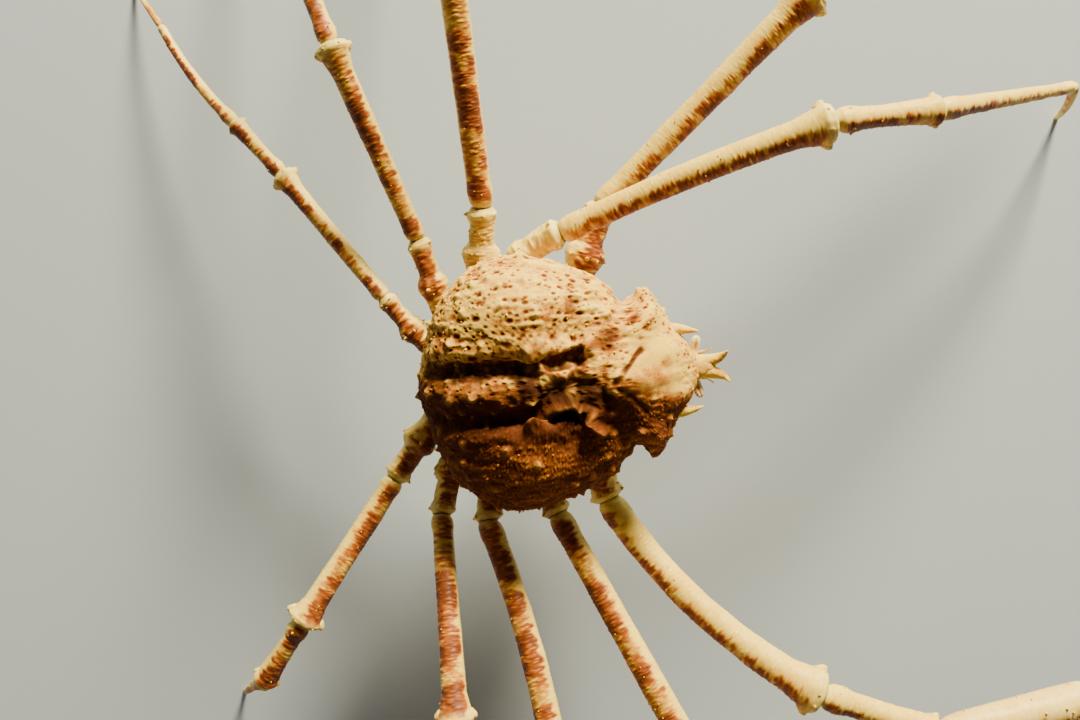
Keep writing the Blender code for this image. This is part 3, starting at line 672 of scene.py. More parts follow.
def shell_form(forward, aside, fade):
    """Height of the furrows, ridges and arches, how much shade is painted into the furrows, and where the
    arches run.
    """
    height = np.zeros(np.shape(forward))
    furrow_shade = np.zeros(np.shape(forward))
    arch = np.zeros(np.shape(forward))
    for path, reach, size, darkness in FURROWS:
        depth = bump(path_distance(forward, np.abs(aside), path), reach)
        furrow_shade = np.maximum(furrow_shade, depth * darkness)
        height += size * depth * fade
    for path, reach, size in RIDGES:
        height += size * bump(path_distance(forward, np.abs(aside), path), reach) * fade
    for path, rise in zip(ARCHES, ARCH_HEIGHTS):
        crest = bump(path_distance(forward, aside, path), ARCH_REACH)
        height += rise * crest * fade
        arch = np.maximum(arch, crest)
    return height, furrow_shade, arch


def shell_zones(forward, aside, wobble, arch):
    """How far each point lies in each zone of the shell, from 0 to 1, and how rough its relief is."""
    zone = SimpleNamespace(**{
        name: bump(forward - ahead, half_length) * bump(np.abs(aside) - apart, half_across)
        for name, (ahead, half_length, apart, half_across) in ZONES.items()})
    zone.smooth = np.clip(zone.smooth * SMOOTH_STRENGTH, 0, 1)
    zone.rear = ease(*REAR_EDGE, forward)
    zone.middle = bump(aside, MIDDLE_REACH) * ease(*MIDDLE_EDGE, forward)
    # Beyond this edge the right side is bristly in its relief and painted brown as shade, except on the arch
    # crests
    waver = BRISTLY_SHADE_WAVER * (wobble[..., 0] + wobble[..., 1])
    edge = aside + waver + BRISTLY_SHADE_SLANT * (forward - BRISTLY_SHADE_PLACE)
    zone.bristly = ease(*BRISTLY_SHADE_EDGE, edge) * (1 - 0.9 * arch)
    zone.rough = (1 - 0.95 * zone.smooth * (1 - zone.bristly)) * (1 - 0.6 * zone.liver * (1 - zone.bristly))
    return zone


def shell_grain(place, zone):
    """The scattered forms of the shell, each from 0 to 1, except for waves and swell round 0."""
    grain = SimpleNamespace()
    grain.grains = scattered(place * (1.1, 0.9, 1.0), 0.0056, 20, 0.60, least=0.35)
    grain.lumps = scattered(place, 0.0110, 30, 0.50, least=0.3, chance=0.80)
    grain.waves = noise(place * (2.6, 0.55, 1.6), 0.0120, 41) - 0.5
    grain.crinkle = np.abs(noise(place, 0.0095, 40) - 0.5) * 2
    grain.swell = noise(place, 0.034, 50) - 0.5
    grain.bristles = scattered(place * (1.0, 1.8, 1.0), 0.0048, 55, 0.60, least=0.3) * zone.bristly

    stretched = place * (1.5, 0.90, 1.2)
    pits = scattered(stretched, 0.0098, 60, 0.30, 0.22, 0.7, 0.95) * (1 - zone.middle)
    smalls = scattered(stretched, 0.0070, 70, 0.30, 0.16, 1.0, 0.75)
    smalls = smalls * np.clip(0.15 + zone.rear + 0.7 * zone.middle, 0, 1)
    deeps = scattered(stretched, 0.0140, 80, 0.34, 0.18, 1.0, 0.80) * np.clip(zone.deep * 2.0, 0, 1)
    pits = np.maximum(np.maximum(pits * (1 - 0.6 * zone.rear), deeps), smalls)
    grain.pits = pits * (1 - zone.smooth) * (1 - 0.75 * zone.bristly)
    return grain


def shell_relief(place, level):
    """Height above the part's shell, and tone, darkness and paleness, with shade painted into tone and
    darkness.
    """
    forward, aside = -place[..., 1], place[..., 0]
    wobble = np.stack([noise(place, 0.015, 3), noise(place, 0.015, 4)], axis=-1) - 0.5
    wavy_forward = forward + wobble[..., 0] * 0.012
    wavy_aside = aside + wobble[..., 1] * 0.009
    height, furrow_shade, arch = shell_form(wavy_forward, wavy_aside, np.clip(level * 2.2 + 0.4, 0, 1))
    zone = shell_zones(forward, aside, wobble, arch)
    grain = shell_grain(place, zone)

    fine = (0.0010 * grain.grains + 0.0018 * grain.lumps) * zone.rough
    height += fine * (1 - 0.45 * zone.gill) * (1 - 0.6 * zone.bristly)
    height += (0.0026 * grain.waves * (1 - 0.5 * zone.middle) + 0.0024 * grain.swell) * zone.rough
    height -= 0.0036 * grain.crinkle * zone.middle * (1 - 0.7 * arch)
    height += 0.0018 * grain.bristles
    height -= 0.0022 * grain.pits
    height *= np.clip(level * 3 + 1.6, 0, 1)

    # How strongly shade is painted into the furrows
    furrow_shading = ease(0.10, 0.45, furrow_shade)
    # A painted shadow along the trench
    trench_shadow = ease(0.25, 0.75, bump(path_distance(wavy_forward, wavy_aside, SHADOW_TRENCH), SHADOW_TRENCH_REACH))
    # Shade painted in patches on the right side
    painted_shade = np.zeros(np.shape(forward))
    for ahead, apart, half_length, half_across, strength in PAINTED_SHADES:
        spread = np.hypot((wavy_forward - ahead) / half_length, (wavy_aside - apart) / half_across)
        painted_shade = np.maximum(painted_shade, strength * bump(spread, 1.0))
    # The arch crests and the bristle tips are left out of the painted shade, as if lit
    painted_shade *= (1 - arch) * (1 - 0.6 * grain.bristles)

    brown = noise(place, 0.045, 90) * 0.5 + noise(place, 0.016, 91) * 0.5
    tone = 0.20 + 0.34 * (brown - 0.5) + 0.10 * (1 - zone.gill)
    tone -= 0.14 * zone.smooth + 0.06 * zone.gill + 0.12 * zone.liver
    tone += (0.12 * (1 - grain.grains) - 0.06 * grain.lumps - 0.54 * grain.waves) * zone.rough
    tone += grain.pits + 0.30 * zone.middle * grain.crinkle
    for ahead, apart, reach, strength in PATCHES:
        ragged = reach * (0.7 + 0.7 * noise(place, 0.0060, 93))
        tone += strength * bump(np.hypot(forward - ahead, aside - apart), ragged)
    # Painted shade: browner in the furrows, along the trench and in the shaded patches
    tone += 0.80 * furrow_shading + 0.70 * trench_shadow + 0.50 * painted_shade
    # Painted shade: the right side browner, less so on its bristles; the right arch's crest is only tinted
    # orange, a painted lit crest
    tone += zone.bristly * (0.62 - 0.34 * grain.bristles) + 0.34 * arch * (aside < 0)

    # Darkness of the pits, and painted shade in the furrows, on the bristly right side, along the trench and
    # in the shaded patches
    dark = np.maximum.reduce([
        np.clip(grain.pits * (0.35 + 0.65 * np.clip(zone.rear + zone.deep * 1.4, 0, 1)), 0, 1),
        0.86 * furrow_shading * (0.55 + 0.45 * grain.crinkle) * (1 - 0.8 * grain.lumps),
        0.50 * zone.bristly * (1 - grain.bristles) * (0.5 + 0.5 * zone.middle),
        0.88 * trench_shadow * (1 - 0.5 * grain.lumps),
        painted_shade])
    # No pale tips where the right side is painted in shade
    pale = np.clip((0.25 * grain.lumps + 0.15 * grain.grains) * zone.rough * (1 - zone.bristly), 0, 1)
    return height, np.clip(tone, 0, 1), dark, pale


def on_forehead(place):
    return -place[1] > FOREHEAD_START and abs(place[0]) < FOREHEAD_HALF_WIDTH


def tubercle_places(draw):
    """The same tubercles as on the part: place, direction, length and radius."""
    made = []
    while len(made) < TUBERCLE_COUNT:
        down = np.array(math.acos(draw.uniform(LOWEST_TUBERCLE, 1.0)))
        turn = np.array(draw.uniform(0, math.tau))
        place = shell_points(down, turn)
        if on_forehead(place) and draw.random() > FOREHEAD_SHARE:
            continue
        crowded = any(np.linalg.norm(place - other[0]) < TUBERCLE_SPACING for other in made)
        if -place[1] > SNOUT_START or crowded:
            continue
        lean = np.array([draw.uniform(-0.25, 0.25), draw.uniform(-0.35, 0.15), 0.0])
        direction = unit(shell_normals(down, turn) + lean)
        length = draw.uniform(*TUBERCLE_HEIGHT)
        made.append((place, direction, length, draw.uniform(*TUBERCLE_RADIUS)))
    return made


def settle_lobes(points, place):
    """Moves the lobes beside the snout; place is where the points are on the part."""
    lobe = bump(-place[..., 1] - LOBE_PLACE, LOBE_REACH) * ease(*LOBE_SIDES, np.abs(place[..., 0]))
    moved = points.copy()
    moved[..., 1] -= LOBE_FORWARD * lobe
    moved[..., 0] -= LOBE_INWARD * lobe * np.sign(place[..., 0])
    return moved


def add_small_spines(skin, draw):
    down = np.array([math.acos(draw.uniform(LOWEST_TUBERCLE, HIGHEST_SPINE)) for _ in range(SMALL_SPINES)])
    turn = np.array([draw.uniform(0, math.tau) for _ in range(SMALL_SPINES)])
    place = shell_points(down, turn)
    normals = shell_normals(down, turn)
    roots = place + normals * shell_relief(place, np.cos(down))[0][..., None]
    for root, normal in zip(settle_lobes(roots, place), normals):
        if -root[1] > SNOUT_START or (on_forehead(root) and draw.random() > FOREHEAD_SPINES):
            continue
        length = draw.uniform(*SMALL_SPINE_HEIGHT)
        # Browner spines where the shell is painted in shade
        tone = SMALL_SPINE_TONES[0] if root[0] < SPINE_SHADE_EDGE else SMALL_SPINE_TONES[1]
        add_spine(skin, root, normal, length, draw.uniform(*SMALL_SPINE_RADIUS), 6, tone, 0.0)


def build_carapace():
    down = np.concatenate([CROWN_RINGS, np.linspace(CROWN_END, RIM_ANGLE, SHELL_RINGS)])
    down, turn = np.meshgrid(down, turns(SHELL_SIDES), indexing="ij")
    place = shell_points(down, turn)
    height, tone, dark, pale = shell_relief(place, np.cos(down))
    raised = place + shell_normals(down, turn) * height[..., None]
    draw = random.Random(SEED)
    for root, direction, length, radius in tubercle_places(draw):
        share = FOREHEAD_HEIGHT if on_forehead(root) else 1.0
        # Less pale tips on the side painted in shade
        tip = TUBERCLE_TIPS[0] if root[0] > TIP_SHADE_EDGE else TUBERCLE_TIPS[1]
        away = np.linalg.norm(place - root, axis=-1) / (radius * TUBERCLE_FOOT)
        cone = np.clip(1 - away, 0, 1) ** TUBERCLE_SHARPNESS
        raised += direction * (cone * length * share)[..., None]
        pale = np.maximum(pale, tip * share * cone)
        # Each tubercle is lighter and clears the darkness under it, both pits and painted shade
        tone = tone * (1 - 0.4 * cone)
        dark = dark * (1 - share * cone)
    raised = settle_lobes(raised, place)
    raised[-1, :, 2] = CHEST_TOP_Z + GAP
    skin = Skin()
    skin.add(raised, tone, dark, pale, place * (1.5, 0.7, 1.0))
    add_small_spines(skin, draw)
    skin.finish("carapace_shell", "carapace", "shell")


def build_horn(name, path, radius, side):
    """One spine of the front, with its root sunk in the shell and small grains on its inner side."""
    shares = np.linspace(0, 1, FRONT_RINGS)
    back = path[0] - unit(path[1] - path[0]) * HORN_SUNK
    slopes = curve_slopes(path, shares)
    centres = np.concatenate([back[None], curve(path, shares)])
    normals = np.concatenate([slopes[:1], slopes])
    girth = np.concatenate([[HORN_SUNK_WIDTH], np.interp(shares, *zip(*HORN_TAPER))]) * radius
    grid, outward = ring_grid(centres, normals, UP, girth[:, None], HORN_SIDES)
    rough = noise(grid, 0.0030, 5) - 0.5
    grid = grid + outward * (rough * 0.0009)[..., None]
    along = np.concatenate([[0], shares])[:, None]
    inner = np.clip(-outward[..., 0] * side, 0, 1)
    tone = 0.12 + 0.45 * inner * ease(0.15, 0.5, along) + 0.3 * rough
    skin = Skin()
    skin.add(grid, np.clip(tone, 0, 1), 0.0, 0.6 * ease(0.75, 1.0, along))
    direction = unit(np.array([-side * 0.75, -0.1, 0.65]))
    for share in np.linspace(0.02, 0.72, HORN_GRAINS):
        row = int(share * (FRONT_RINGS - 1)) + 1
        root = centres[row] + direction * girth[row] * 0.93
        add_spine(skin, root, direction, 0.0016, 0.0011, 6, 0.1, 0.6)
    skin.finish(name, "carapace", "shell")


def build_rostrum():
    """The root that both horns share."""
    shares = np.linspace(0, 1, FRONT_RINGS)
    width = np.interp(shares, *zip(*ROSTRUM_WIDTHS))
    grid, outward = tube(ROSTRUM_PATH, shares, ACROSS, width[:, None], ROSTRUM_SIDES, ROSTRUM_FLATNESS)
    grains = scattered(grid, 0.0042, 11, 0.55)
    raised = grid + outward * (0.0009 * grains)[..., None]
    add_piece("rostrum", "carapace", "shell", raised, 0.34 - 0.2 * grains, 0.0, 0.3 * grains)


# The underside, eyes and antennae

def build_chest():
    rise = CHEST_STEEPEST * np.linspace(0, 1, CHEST_RINGS) ** CHEST_CURVE
    rise, turn = np.meshgrid(rise, turns(CHEST_SIDES), indexing="ij")
    reach = np.cos(rise) ** CHEST_BOX
    forward = reach * np.sin(turn)
    place = np.stack([
        SHELL_HALF * reach * np.cos(turn) * half_width(forward * CHEST_LENGTH) * CHEST_WIDTH,
        CHEST_BACK - SHELL_HALF * CHEST_LENGTH * forward,
        CHEST_TOP_Z - CHEST_DEPTH * np.sin(rise) ** CHEST_CURVE], axis=-1)
    seams = bump((place[..., 1] - 0.008) % CHEST_SEAMS - CHEST_SEAMS / 2, 0.0026)
    seams = seams * (np.abs(place[..., 0]) > 0.036) * ease(0.3, 0.8, np.sin(rise))
    rough = noise(place, 0.012, 7) - 0.5
    inward = -unit(place - np.array([0, CHEST_BACK, CHEST_TOP_Z - 0.03]))
    place = place + inward * (0.0030 * seams + 0.0012 * rough)[..., None]
    pale = 0.4 * scattered(place, 0.006, 9, 0.5)
    add_piece("chest_plate", "chest", "underside", place, 0.25 + 0.2 * rough, 0.45 * seams, pale)


def build_tail():
    shares = np.linspace(0, 1, TAIL_LENGTHS * TAIL_RINGS + 1)
    wave = np.abs(np.sin(math.pi * shares * TAIL_LENGTHS)) ** 0.6
    width = (TAIL_WIDTH - TAIL_NARROWING * shares) * (0.92 + 0.08 * wave)
    thick = TAIL_THICKNESS * (0.86 + 0.14 * wave)
    grid = flat_tube(mirrored(TAIL_PATH, rise=BELLY_Z), shares, width, thick, TAIL_SIDES)
    dark = 0.6 * (1 - ease(0.0, 0.35, wave))[:, None]
    add_piece("tail_plates", "tail", "underside", grid, 0.25, dark, 0.15)


def build_jaw_foot(side, word):
    shares = np.linspace(0, 1, SMALL_RINGS)
    width = smooth_radii(JAW_WIDTHS, shares, 0.02)
    thick = np.full(SMALL_RINGS, JAW_THICKNESS)
    grid = flat_tube(mirrored(JAW_PATH, side, BELLY_Z), shares, width, thick, JAW_SIDES)
    crease = 0.7 * bump(shares - 0.60, 0.02)[:, None]
    add_piece(f"jaw_foot_{word}_plate", f"jaw_foot_{word}", "underside", grid, 0.30, crease, 0.1)


def build_eye(side, word):
    """A pale prong of two lobes with a crease between them and an orange rim at its root."""
    shares = np.linspace(0, 1, SMALL_RINGS)
    along = shares[:, None]
    crease = bump(np.sin(turns(EYE_SIDES)) * 0.75, 0.24) * ease(0.12, 0.55, along)
    radii = smooth_radii(EYE_RADII, shares, 0.03)[:, None] * (1 - 0.34 * crease)
    grid, _ = tube(mirrored(EYE_PATH, side), shares, UP, radii, EYE_SIDES)
    cornea = crease * bump(along - 0.62, 0.26)
    rim = ease(0.16, 0.05, along)
    tone = 0.6 * cornea + 0.6 * rim
    dark = 0.2 * ease(0.5, 1.0, cornea)
    add_piece(f"eye_{word}_stalk", f"eye_{word}", "eye", grid, tone, dark, 0.4 * (1 - cornea) * (1 - rim))


def build_antenna(side, word):
    shares = np.linspace(0, 1, SMALL_RINGS)
    rings = 1 + 0.08 * np.sin(shares * 150) * (shares > 0.66)
    radii = (smooth_radii(ANTENNA_RADII, shares, 0.012) * rings)[:, None]
    grid, _ = tube(mirrored(ANTENNA_PATH, side), shares, UP, radii, ANTENNA_SIDES)
    add_piece(f"antenna_{word}_feeler", f"antenna_{word}", "underside", grid, 0.45, 0.0, 0.25)


# The limbs

def heading(turn, rise):
    turn, rise = math.radians(turn), math.radians(rise)
    return Vector((math.sin(turn) * math.cos(rise), -math.cos(turn) * math.cos(rise), math.sin(rise)))


def limb_joints(kind, pose):
    """The joints from hip to tip, as the part has them."""
    _, hip, knee, *angles, last_angle = pose
    _, *sizes, last_size = LIMB_SIZES[kind]
    joints = [Vector(hip), Vector(knee)]
    for angle, size in zip(angles, sizes):
        joints.append(joints[-1] + heading(*angle) * size)
    last = joints[-1]
    if kind == "cheliped":
        return [*joints, last + heading(*last_angle) * last_size]
    rise = -math.degrees(math.asin(min(STEEPEST_FOOT, last.z / last_size)))
    tip = last + heading(last_angle, rise) * last_size
    tip.z = 0.0
    return [*joints, tip]


def level_side(axis):
    return Vector((axis.y, -axis.x, 0)).normalized()


def upward(axis, side):
    above = side.cross(axis).normalized()
    return above if above.z > 0 else -above


class Length:
    """One length of a limb, from joint to joint, straight or bowed."""

    def __init__(self, start, end, bow):
        self.start = start
        self.span = end - start
        self.side = level_side(self.span.normalized())
        self.bow = self.side * bow

    def places(self, shares):
        share = shares[:, None]
        bowed = np.array(self.bow) * (4 * share * (1 - share))
        return np.array(self.start) + np.array(self.span) * share + bowed

    def slopes(self, shares):
        return unit(np.array(self.span) + np.array(self.bow) * (4 * (1 - 2 * shares[:, None])))

    def place(self, share):
        return self.start + self.span * share + self.bow * (4 * share * (1 - share))

    def slope(self, share):
        return (self.span + self.bow * (4 * (1 - 2 * share))).normalized()


def limb_lengths(joints, bows):
    """The lengths of a limb, and the direction of the seam at each joint."""
    pairs = zip(LENGTH_NAMES, joints, joints[1:])
    lengths = [Length(start, end, bows.get(name, 0.0)) for name, start, end in pairs]
    seams = [lengths[0].slope(0)]
    for one, two in zip(lengths, lengths[1:]):
        seams.append((one.slope(1) + two.slope(0)).normalized())
    seams.append(lengths[-1].slope(1))
    return lengths, seams


def limb_skin(grid, outward, local, along, part, girth, salt, look):
    """Relief and colours of a length: along runs from 0 to 1, local is where a point is on it."""
    lengthwise = local * (0.34, 0.34, 1.0)
    ruffles = np.maximum(
        scattered(lengthwise, 0.0038, salt, 0.58, least=0.3), scattered(lengthwise, 0.0034, salt + 5, 0.52))
    grains = scattered(local, 0.0052, salt + 10, 0.50)
    swell = noise(local, 0.030, salt + 20) - 0.5
    ragged = np.abs(noise(local, 0.0085, salt + 21) - 0.5) * 2

    belt = noise(local * (0.6, 0.6, 1.0), 0.022, salt + 30)
    streak = noise(lengthwise, 0.0036, salt + 31)
    blotch = noise(local, 0.010, salt + 32)
    patch = ease(0.34, 0.60, 0.56 * belt + 0.28 * streak + 0.16 * blotch)
    axis = unit(grid[-1].mean(axis=0) - grid[0].mean(axis=0))
    # The orange band follows the limb's back leant away from the key light: partly its own orange, partly
    # painted shade; on the forward limbs it is painted shade alone
    side = look["stripe_shade_side"]
    shade_side_facing = outward @ unit(side - axis * (axis @ side)) + 0.55 * (streak - 0.5) + 0.35 * (blotch - 0.5)
    back = ease(look["stripe_from"], look["stripe_to"], shade_side_facing) * look["tint"]
    tone = 0.13 + 0.20 * (blotch - 0.5) + (0.24 + 0.44 * patch) * back
    # Browner between the ruffles and lighter on them: painted shade of the ruffles' valleys
    tone = tone + 0.30 * (0.45 - ruffles) * (0.25 + 0.75 * back)

    start_ring = bump(along, 0.026)
    end_ring = bump(along - 0.975, 0.026) if part in ("merus", "carpus") else bump(along - 0.95, 0.05)
    rings = np.clip(start_ring + end_ring, 0, 1)
    calm = 1 - 0.75 * rings
    height = (0.0011 * ruffles * (0.35 + 0.65 * back) + 0.0005 * grains) * calm + 0.0014 * swell
    height = height + 0.0016 * (ragged - 0.5) * end_ring
    if part == "base":
        height = height - 0.0026 * ragged * (1 - start_ring) + 0.0008
        tone = tone * (1 - 0.8 * look["paleness"])
    # Painted shade in the valleys between ruffles
    valley_shade = ease(0.30, 0.0, ruffles) * back
    dark = 0.55 * ease(0.008, 0.001, np.minimum(along, 1 - along)) + valley_shade * (0.12 + 0.30 * patch)
    pale = np.clip(0.35 * rings + 0.20 * grains * (1 - back), 0, 1)
    raised = grid + outward * (height * (girth / USUAL_GIRTH))[..., None]
    return raised, np.clip(tone * calm, 0, 1), np.clip(dark, 0, 1), pale


def add_length(skin, length, normals, part, girth, salt, look):
    """The fine skin of one length of a limb. Gives its points and their outward directions."""
    size = length.span.length
    shares = np.linspace(0, 1, max(12, int(size / RING_SPACING)))
    turn_in = SEAM_TURN_IN * girth / size
    slopes = length.slopes(shares)
    near_start = np.maximum(0, 1 - shares / turn_in)[:, None]
    near_end = np.maximum(0, 1 - (1 - shares) / turn_in)[:, None]
    first, last = (np.array(normal) for normal in normals)
    directions = unit(slopes + (first - slopes) * near_start + (last - slopes) * near_end)
    centres = length.places(shares)
    centres[0] += first * (GAP / 2)
    centres[-1] -= last * (GAP / 2)
    radii = smooth_radii(PROFILES[part], shares, SOFT_TURN / size) * girth
    sides = SLIM_SIDES if part == "propodus" else LIMB_SIDES
    flare = np.maximum(0, radii - FLARE_START[part] * girth)[:, None]
    spread = radii[:, None] + flare * (0.55 * np.cos(turns(sides)) ** 2 - 0.33)
    grid, outward = ring_grid(centres, directions, np.array(length.side), spread, sides)
    local = own_places(radii, sides, shares * size)
    grid, *looks = limb_skin(grid, outward, local, shares[:, None], part, girth, salt, look)
    skin.add(grid, *looks, local * (0.35, 0.35, 1.0))
    return grid, outward


def onward(grid, row):
    """The direction along a tube at one of its rows."""
    return unit(grid[min(row + 3, len(grid) - 1)].mean(axis=0) - grid[row].mean(axis=0))


def scatter_spines(skin, grid, outward, part, girth, draw):
    """Short spines at random places of a length, that lean towards its far end."""
    zone, count, lengths, width = SPINES[part]
    rows, sides, _ = grid.shape
    for _ in range(count):
        row = int(draw.uniform(*zone) * (rows - 1))
        column = draw.randrange(sides)
        length = draw.uniform(*lengths)
        direction = unit(outward[row, column] + onward(grid, row) * draw.uniform(0.0, 0.35))
        radius = girth * width * draw.uniform(0.7, 1.1)
        add_spine(skin, grid[row, column], direction, length, radius, 6, 0.40, 0.2)


def collar(skin, grid, outward, share, count, lengths, radius, draw):
    """Blunt knobs that stand round a flared end."""
    rows, sides, _ = grid.shape
    row = int(share * (rows - 1))
    for step in range(count):
        column = int((step + draw.uniform(0.1, 0.7)) / count * sides) % sides
        direction = unit(outward[row, column] + onward(grid, row) * draw.uniform(0.05, 0.6))
        length = draw.uniform(*lengths)
        add_spine(skin, grid[row, column], direction, length, radius * draw.uniform(0.8, 1.15), 8, 0.36, 0.1)


def side_knobs(skin, grid, outward, share, length, radius):
    """A blunt knob on each side of a flared end, which rises gently and drops steeply."""
    rows, sides, _ = grid.shape
    row = int(share * (rows - 1))
    ahead = onward(grid, row)
    shares, sizes = np.array(KNOB_PROFILE).T
    for column in (0, sides // 2):
        direction = outward[row, column]
        root = grid[row, column] - direction * 0.25 * radius - ahead * KNOB_LEAN * radius
        centres = root + direction * (shares * length)[:, None]
        centres = centres + ahead * (np.maximum(shares, 0) * KNOB_LEAN * radius)[:, None]
        normals = np.broadcast_to(direction, centres.shape)
        knob, _ = ring_grid(centres, normals, ahead, (sizes * radius)[:, None], KNOB_SIDES, 0.80)
        skin.add(knob, 0.12, 0.0, 0.25 * np.clip(shares, 0, 1)[:, None])


def build_finger(skin, path, radii, girth, side, salt, teeth_towards):
    path = [np.array(place) for place in path]
    size = np.linalg.norm(path[2] - path[0])
    shares = np.linspace(0, 1, max(16, int(size / RING_SPACING)))
    widths = smooth_radii(radii, shares, 0.02) * girth
    grid, outward = tube(path, shares, side, widths[:, None], SLIM_SIDES, FINGER_FLATNESS)
    swell = noise(own_places(widths, SLIM_SIDES, shares * size), 0.010, salt) - 0.5
    along = shares[:, None] + 0.06 * swell
    tone = 0.35 * (1 - ease(0.2, 0.6, along)) + 0.2 * swell
    pale = np.clip(0.25 + ease(0.35, 0.75, along), 0, 1)
    skin.add(grid + outward * (0.0008 * swell)[..., None], tone, 0.0, pale)
    for share in np.linspace(0.16, 0.90, FINGER_TEETH):
        width = np.interp(share, shares, widths)
        tooth = 0.30 * width * (1.25 if share < 0.6 else 0.8)
        root = curve(path, np.array([share]))[0] + teeth_towards * width * 0.80
        add_spine(skin, root, teeth_towards, tooth * 1.3, tooth, 8, 0.0, 1.0)


def build_claw(name, length, seam, tip, girth, look, draw, salt):
    """The palm with its fixed finger, and the moving finger above it."""
    axis = length.slope(1)
    knuckle = length.place(1)
    above = upward(axis, length.side)
    side = np.array(length.side)
    skin = Skin()
    grid, outward = add_length(skin, length, (seam, axis), "palm", girth, salt, look)
    scatter_spines(skin, grid, outward, "palm", girth, draw)
    root = knuckle - above * girth * FIXED_FINGER["root"]
    end = tip - above * girth * FIXED_FINGER["tip"]
    control = (root + end) / 2 - above * girth * FIXED_FINGER["bow"]
    sunk = root - axis * girth * FIXED_FINGER["sunk"]
    build_finger(skin, (sunk, control, end), FIXED_RADII, girth, side, salt + 5, np.array(above))
    skin.finish(f"{name}_palm_hand", f"{name}_palm", "claw")

    hinge = knuckle + above * girth * MOVING_FINGER["root"] + axis * GAP
    end = tip + above * girth * MOVING_FINGER["tip"]
    control = (hinge + end) / 2 + above * girth * MOVING_FINGER["bow"]
    skin = Skin()
    build_finger(skin, (hinge, control, end), MOVING_RADII, girth, side, salt + 6, -np.array(above))
    skin.finish(f"{name}_finger_claw", f"{name}_finger", "claw")


def build_foot(name, start, foot, normal, girth, draw, salt):
    """The last length of a walking leg, a curved nail that ends upright on the floor."""
    span = foot - start
    side = level_side(span.normalized())
    control = (start + foot) / 2 + upward(span, side) * (CLAW_ARCH * span.length)
    path = [np.array(place) for place in (start, control, foot)]
    shares = np.linspace(0, 1, max(16, int(span.length / RING_SPACING)))
    along = shares[:, None]
    slopes = curve_slopes(path, shares)
    slopes = unit(slopes + (np.array(normal) - slopes) * np.maximum(0, 1 - along / 0.06))
    slopes = unit(slopes + (-UP - slopes) * ease(FOOT_START, 1.0, along))
    radii = smooth_radii(PROFILES["dactylus"], shares, 0.02) * girth
    radii = radii + (FOOT_RADIUS - radii) * ease(FOOT_START, 1.0, shares)
    grid, outward = ring_grid(curve(path, shares), slopes, np.array(side), radii[:, None], SLIM_SIDES)
    local = own_places(radii, SLIM_SIDES, shares * span.length)
    ends = ease(0.05, 0.2, along) * ease(1.0, 0.9, along)
    furrow = bump(np.cos(turns(SLIM_SIDES) * 3), 0.35) * ends
    streak = noise(local * (0.6, 0.6, 0.35), 0.0040, salt)
    grid = grid - outward * (0.0004 * furrow + 0.0005 * (streak - 0.5))[..., None]
    tone = 0.75 * streak * (1 - ease(0.6, 0.9, along)) + 0.1
    skin = Skin()
    skin.add(grid, tone, 0.25 * ease(0.90, 1.0, along), 0.25 * ease(0.3, 0.8, along))
    scatter_spines(skin, grid, outward, "dactylus", girth, draw)
    skin.finish(f"{name}_dactylus_nail", f"{name}_dactylus", "limb")


def build_limb(name, pose, draw, salt):
    kind = name.split("_")[0]
    clawed = kind == "cheliped"
    girth = LIMB_SIZES[kind][0] * pose[0]
    # The forward limbs take the look with painted shade along one edge and painted light on the rest
    look = {**(SHADE_EDGED if name in SHADE_EDGED_LIMBS else PATCHY), "paleness": PALE_BASES.get(name, 0.0)}
    joints = limb_joints(kind, pose)
    lengths, seams = limb_lengths(joints, BOWS.get(name, {}))
    for index, part in enumerate(LENGTH_NAMES[:3 if clawed else 4]):
        skin = Skin()
        ends = (seams[index], seams[index + 1])
        grid, outward = add_length(skin, lengths[index], ends, part, girth, salt + index * LENGTH_SALTS, look)
        if part in SIDE_KNOBS:
            share, size, width = SIDE_KNOBS[part]
            side_knobs(skin, grid, outward, share, girth * size, girth * width)
        pale_base = part == "base" and name in PALE_BASES
        for share, count, sizes, width in COLLARS["pale base" if pale_base else part]:
            collar(skin, grid, outward, share, count, sizes, girth * width, draw)
        scatter_spines(skin, grid, outward, part, girth, draw)
        skin.finish(f"{name}_{part}_tube", f"{name}_{part}", "limb")
    if clawed:
        build_claw(name, lengths[3], seams[3], joints[5], girth, look, draw, salt + TIP_SALT)
    else:
        start = joints[4] + seams[4] * (GAP / 2)
        build_foot(name, start, joints[5], seams[4], girth, draw, salt + TIP_SALT)


# Materials: colours by tone from 0 to 1, the colours of dark pits and painted shade and of pale tips, and the
# surface

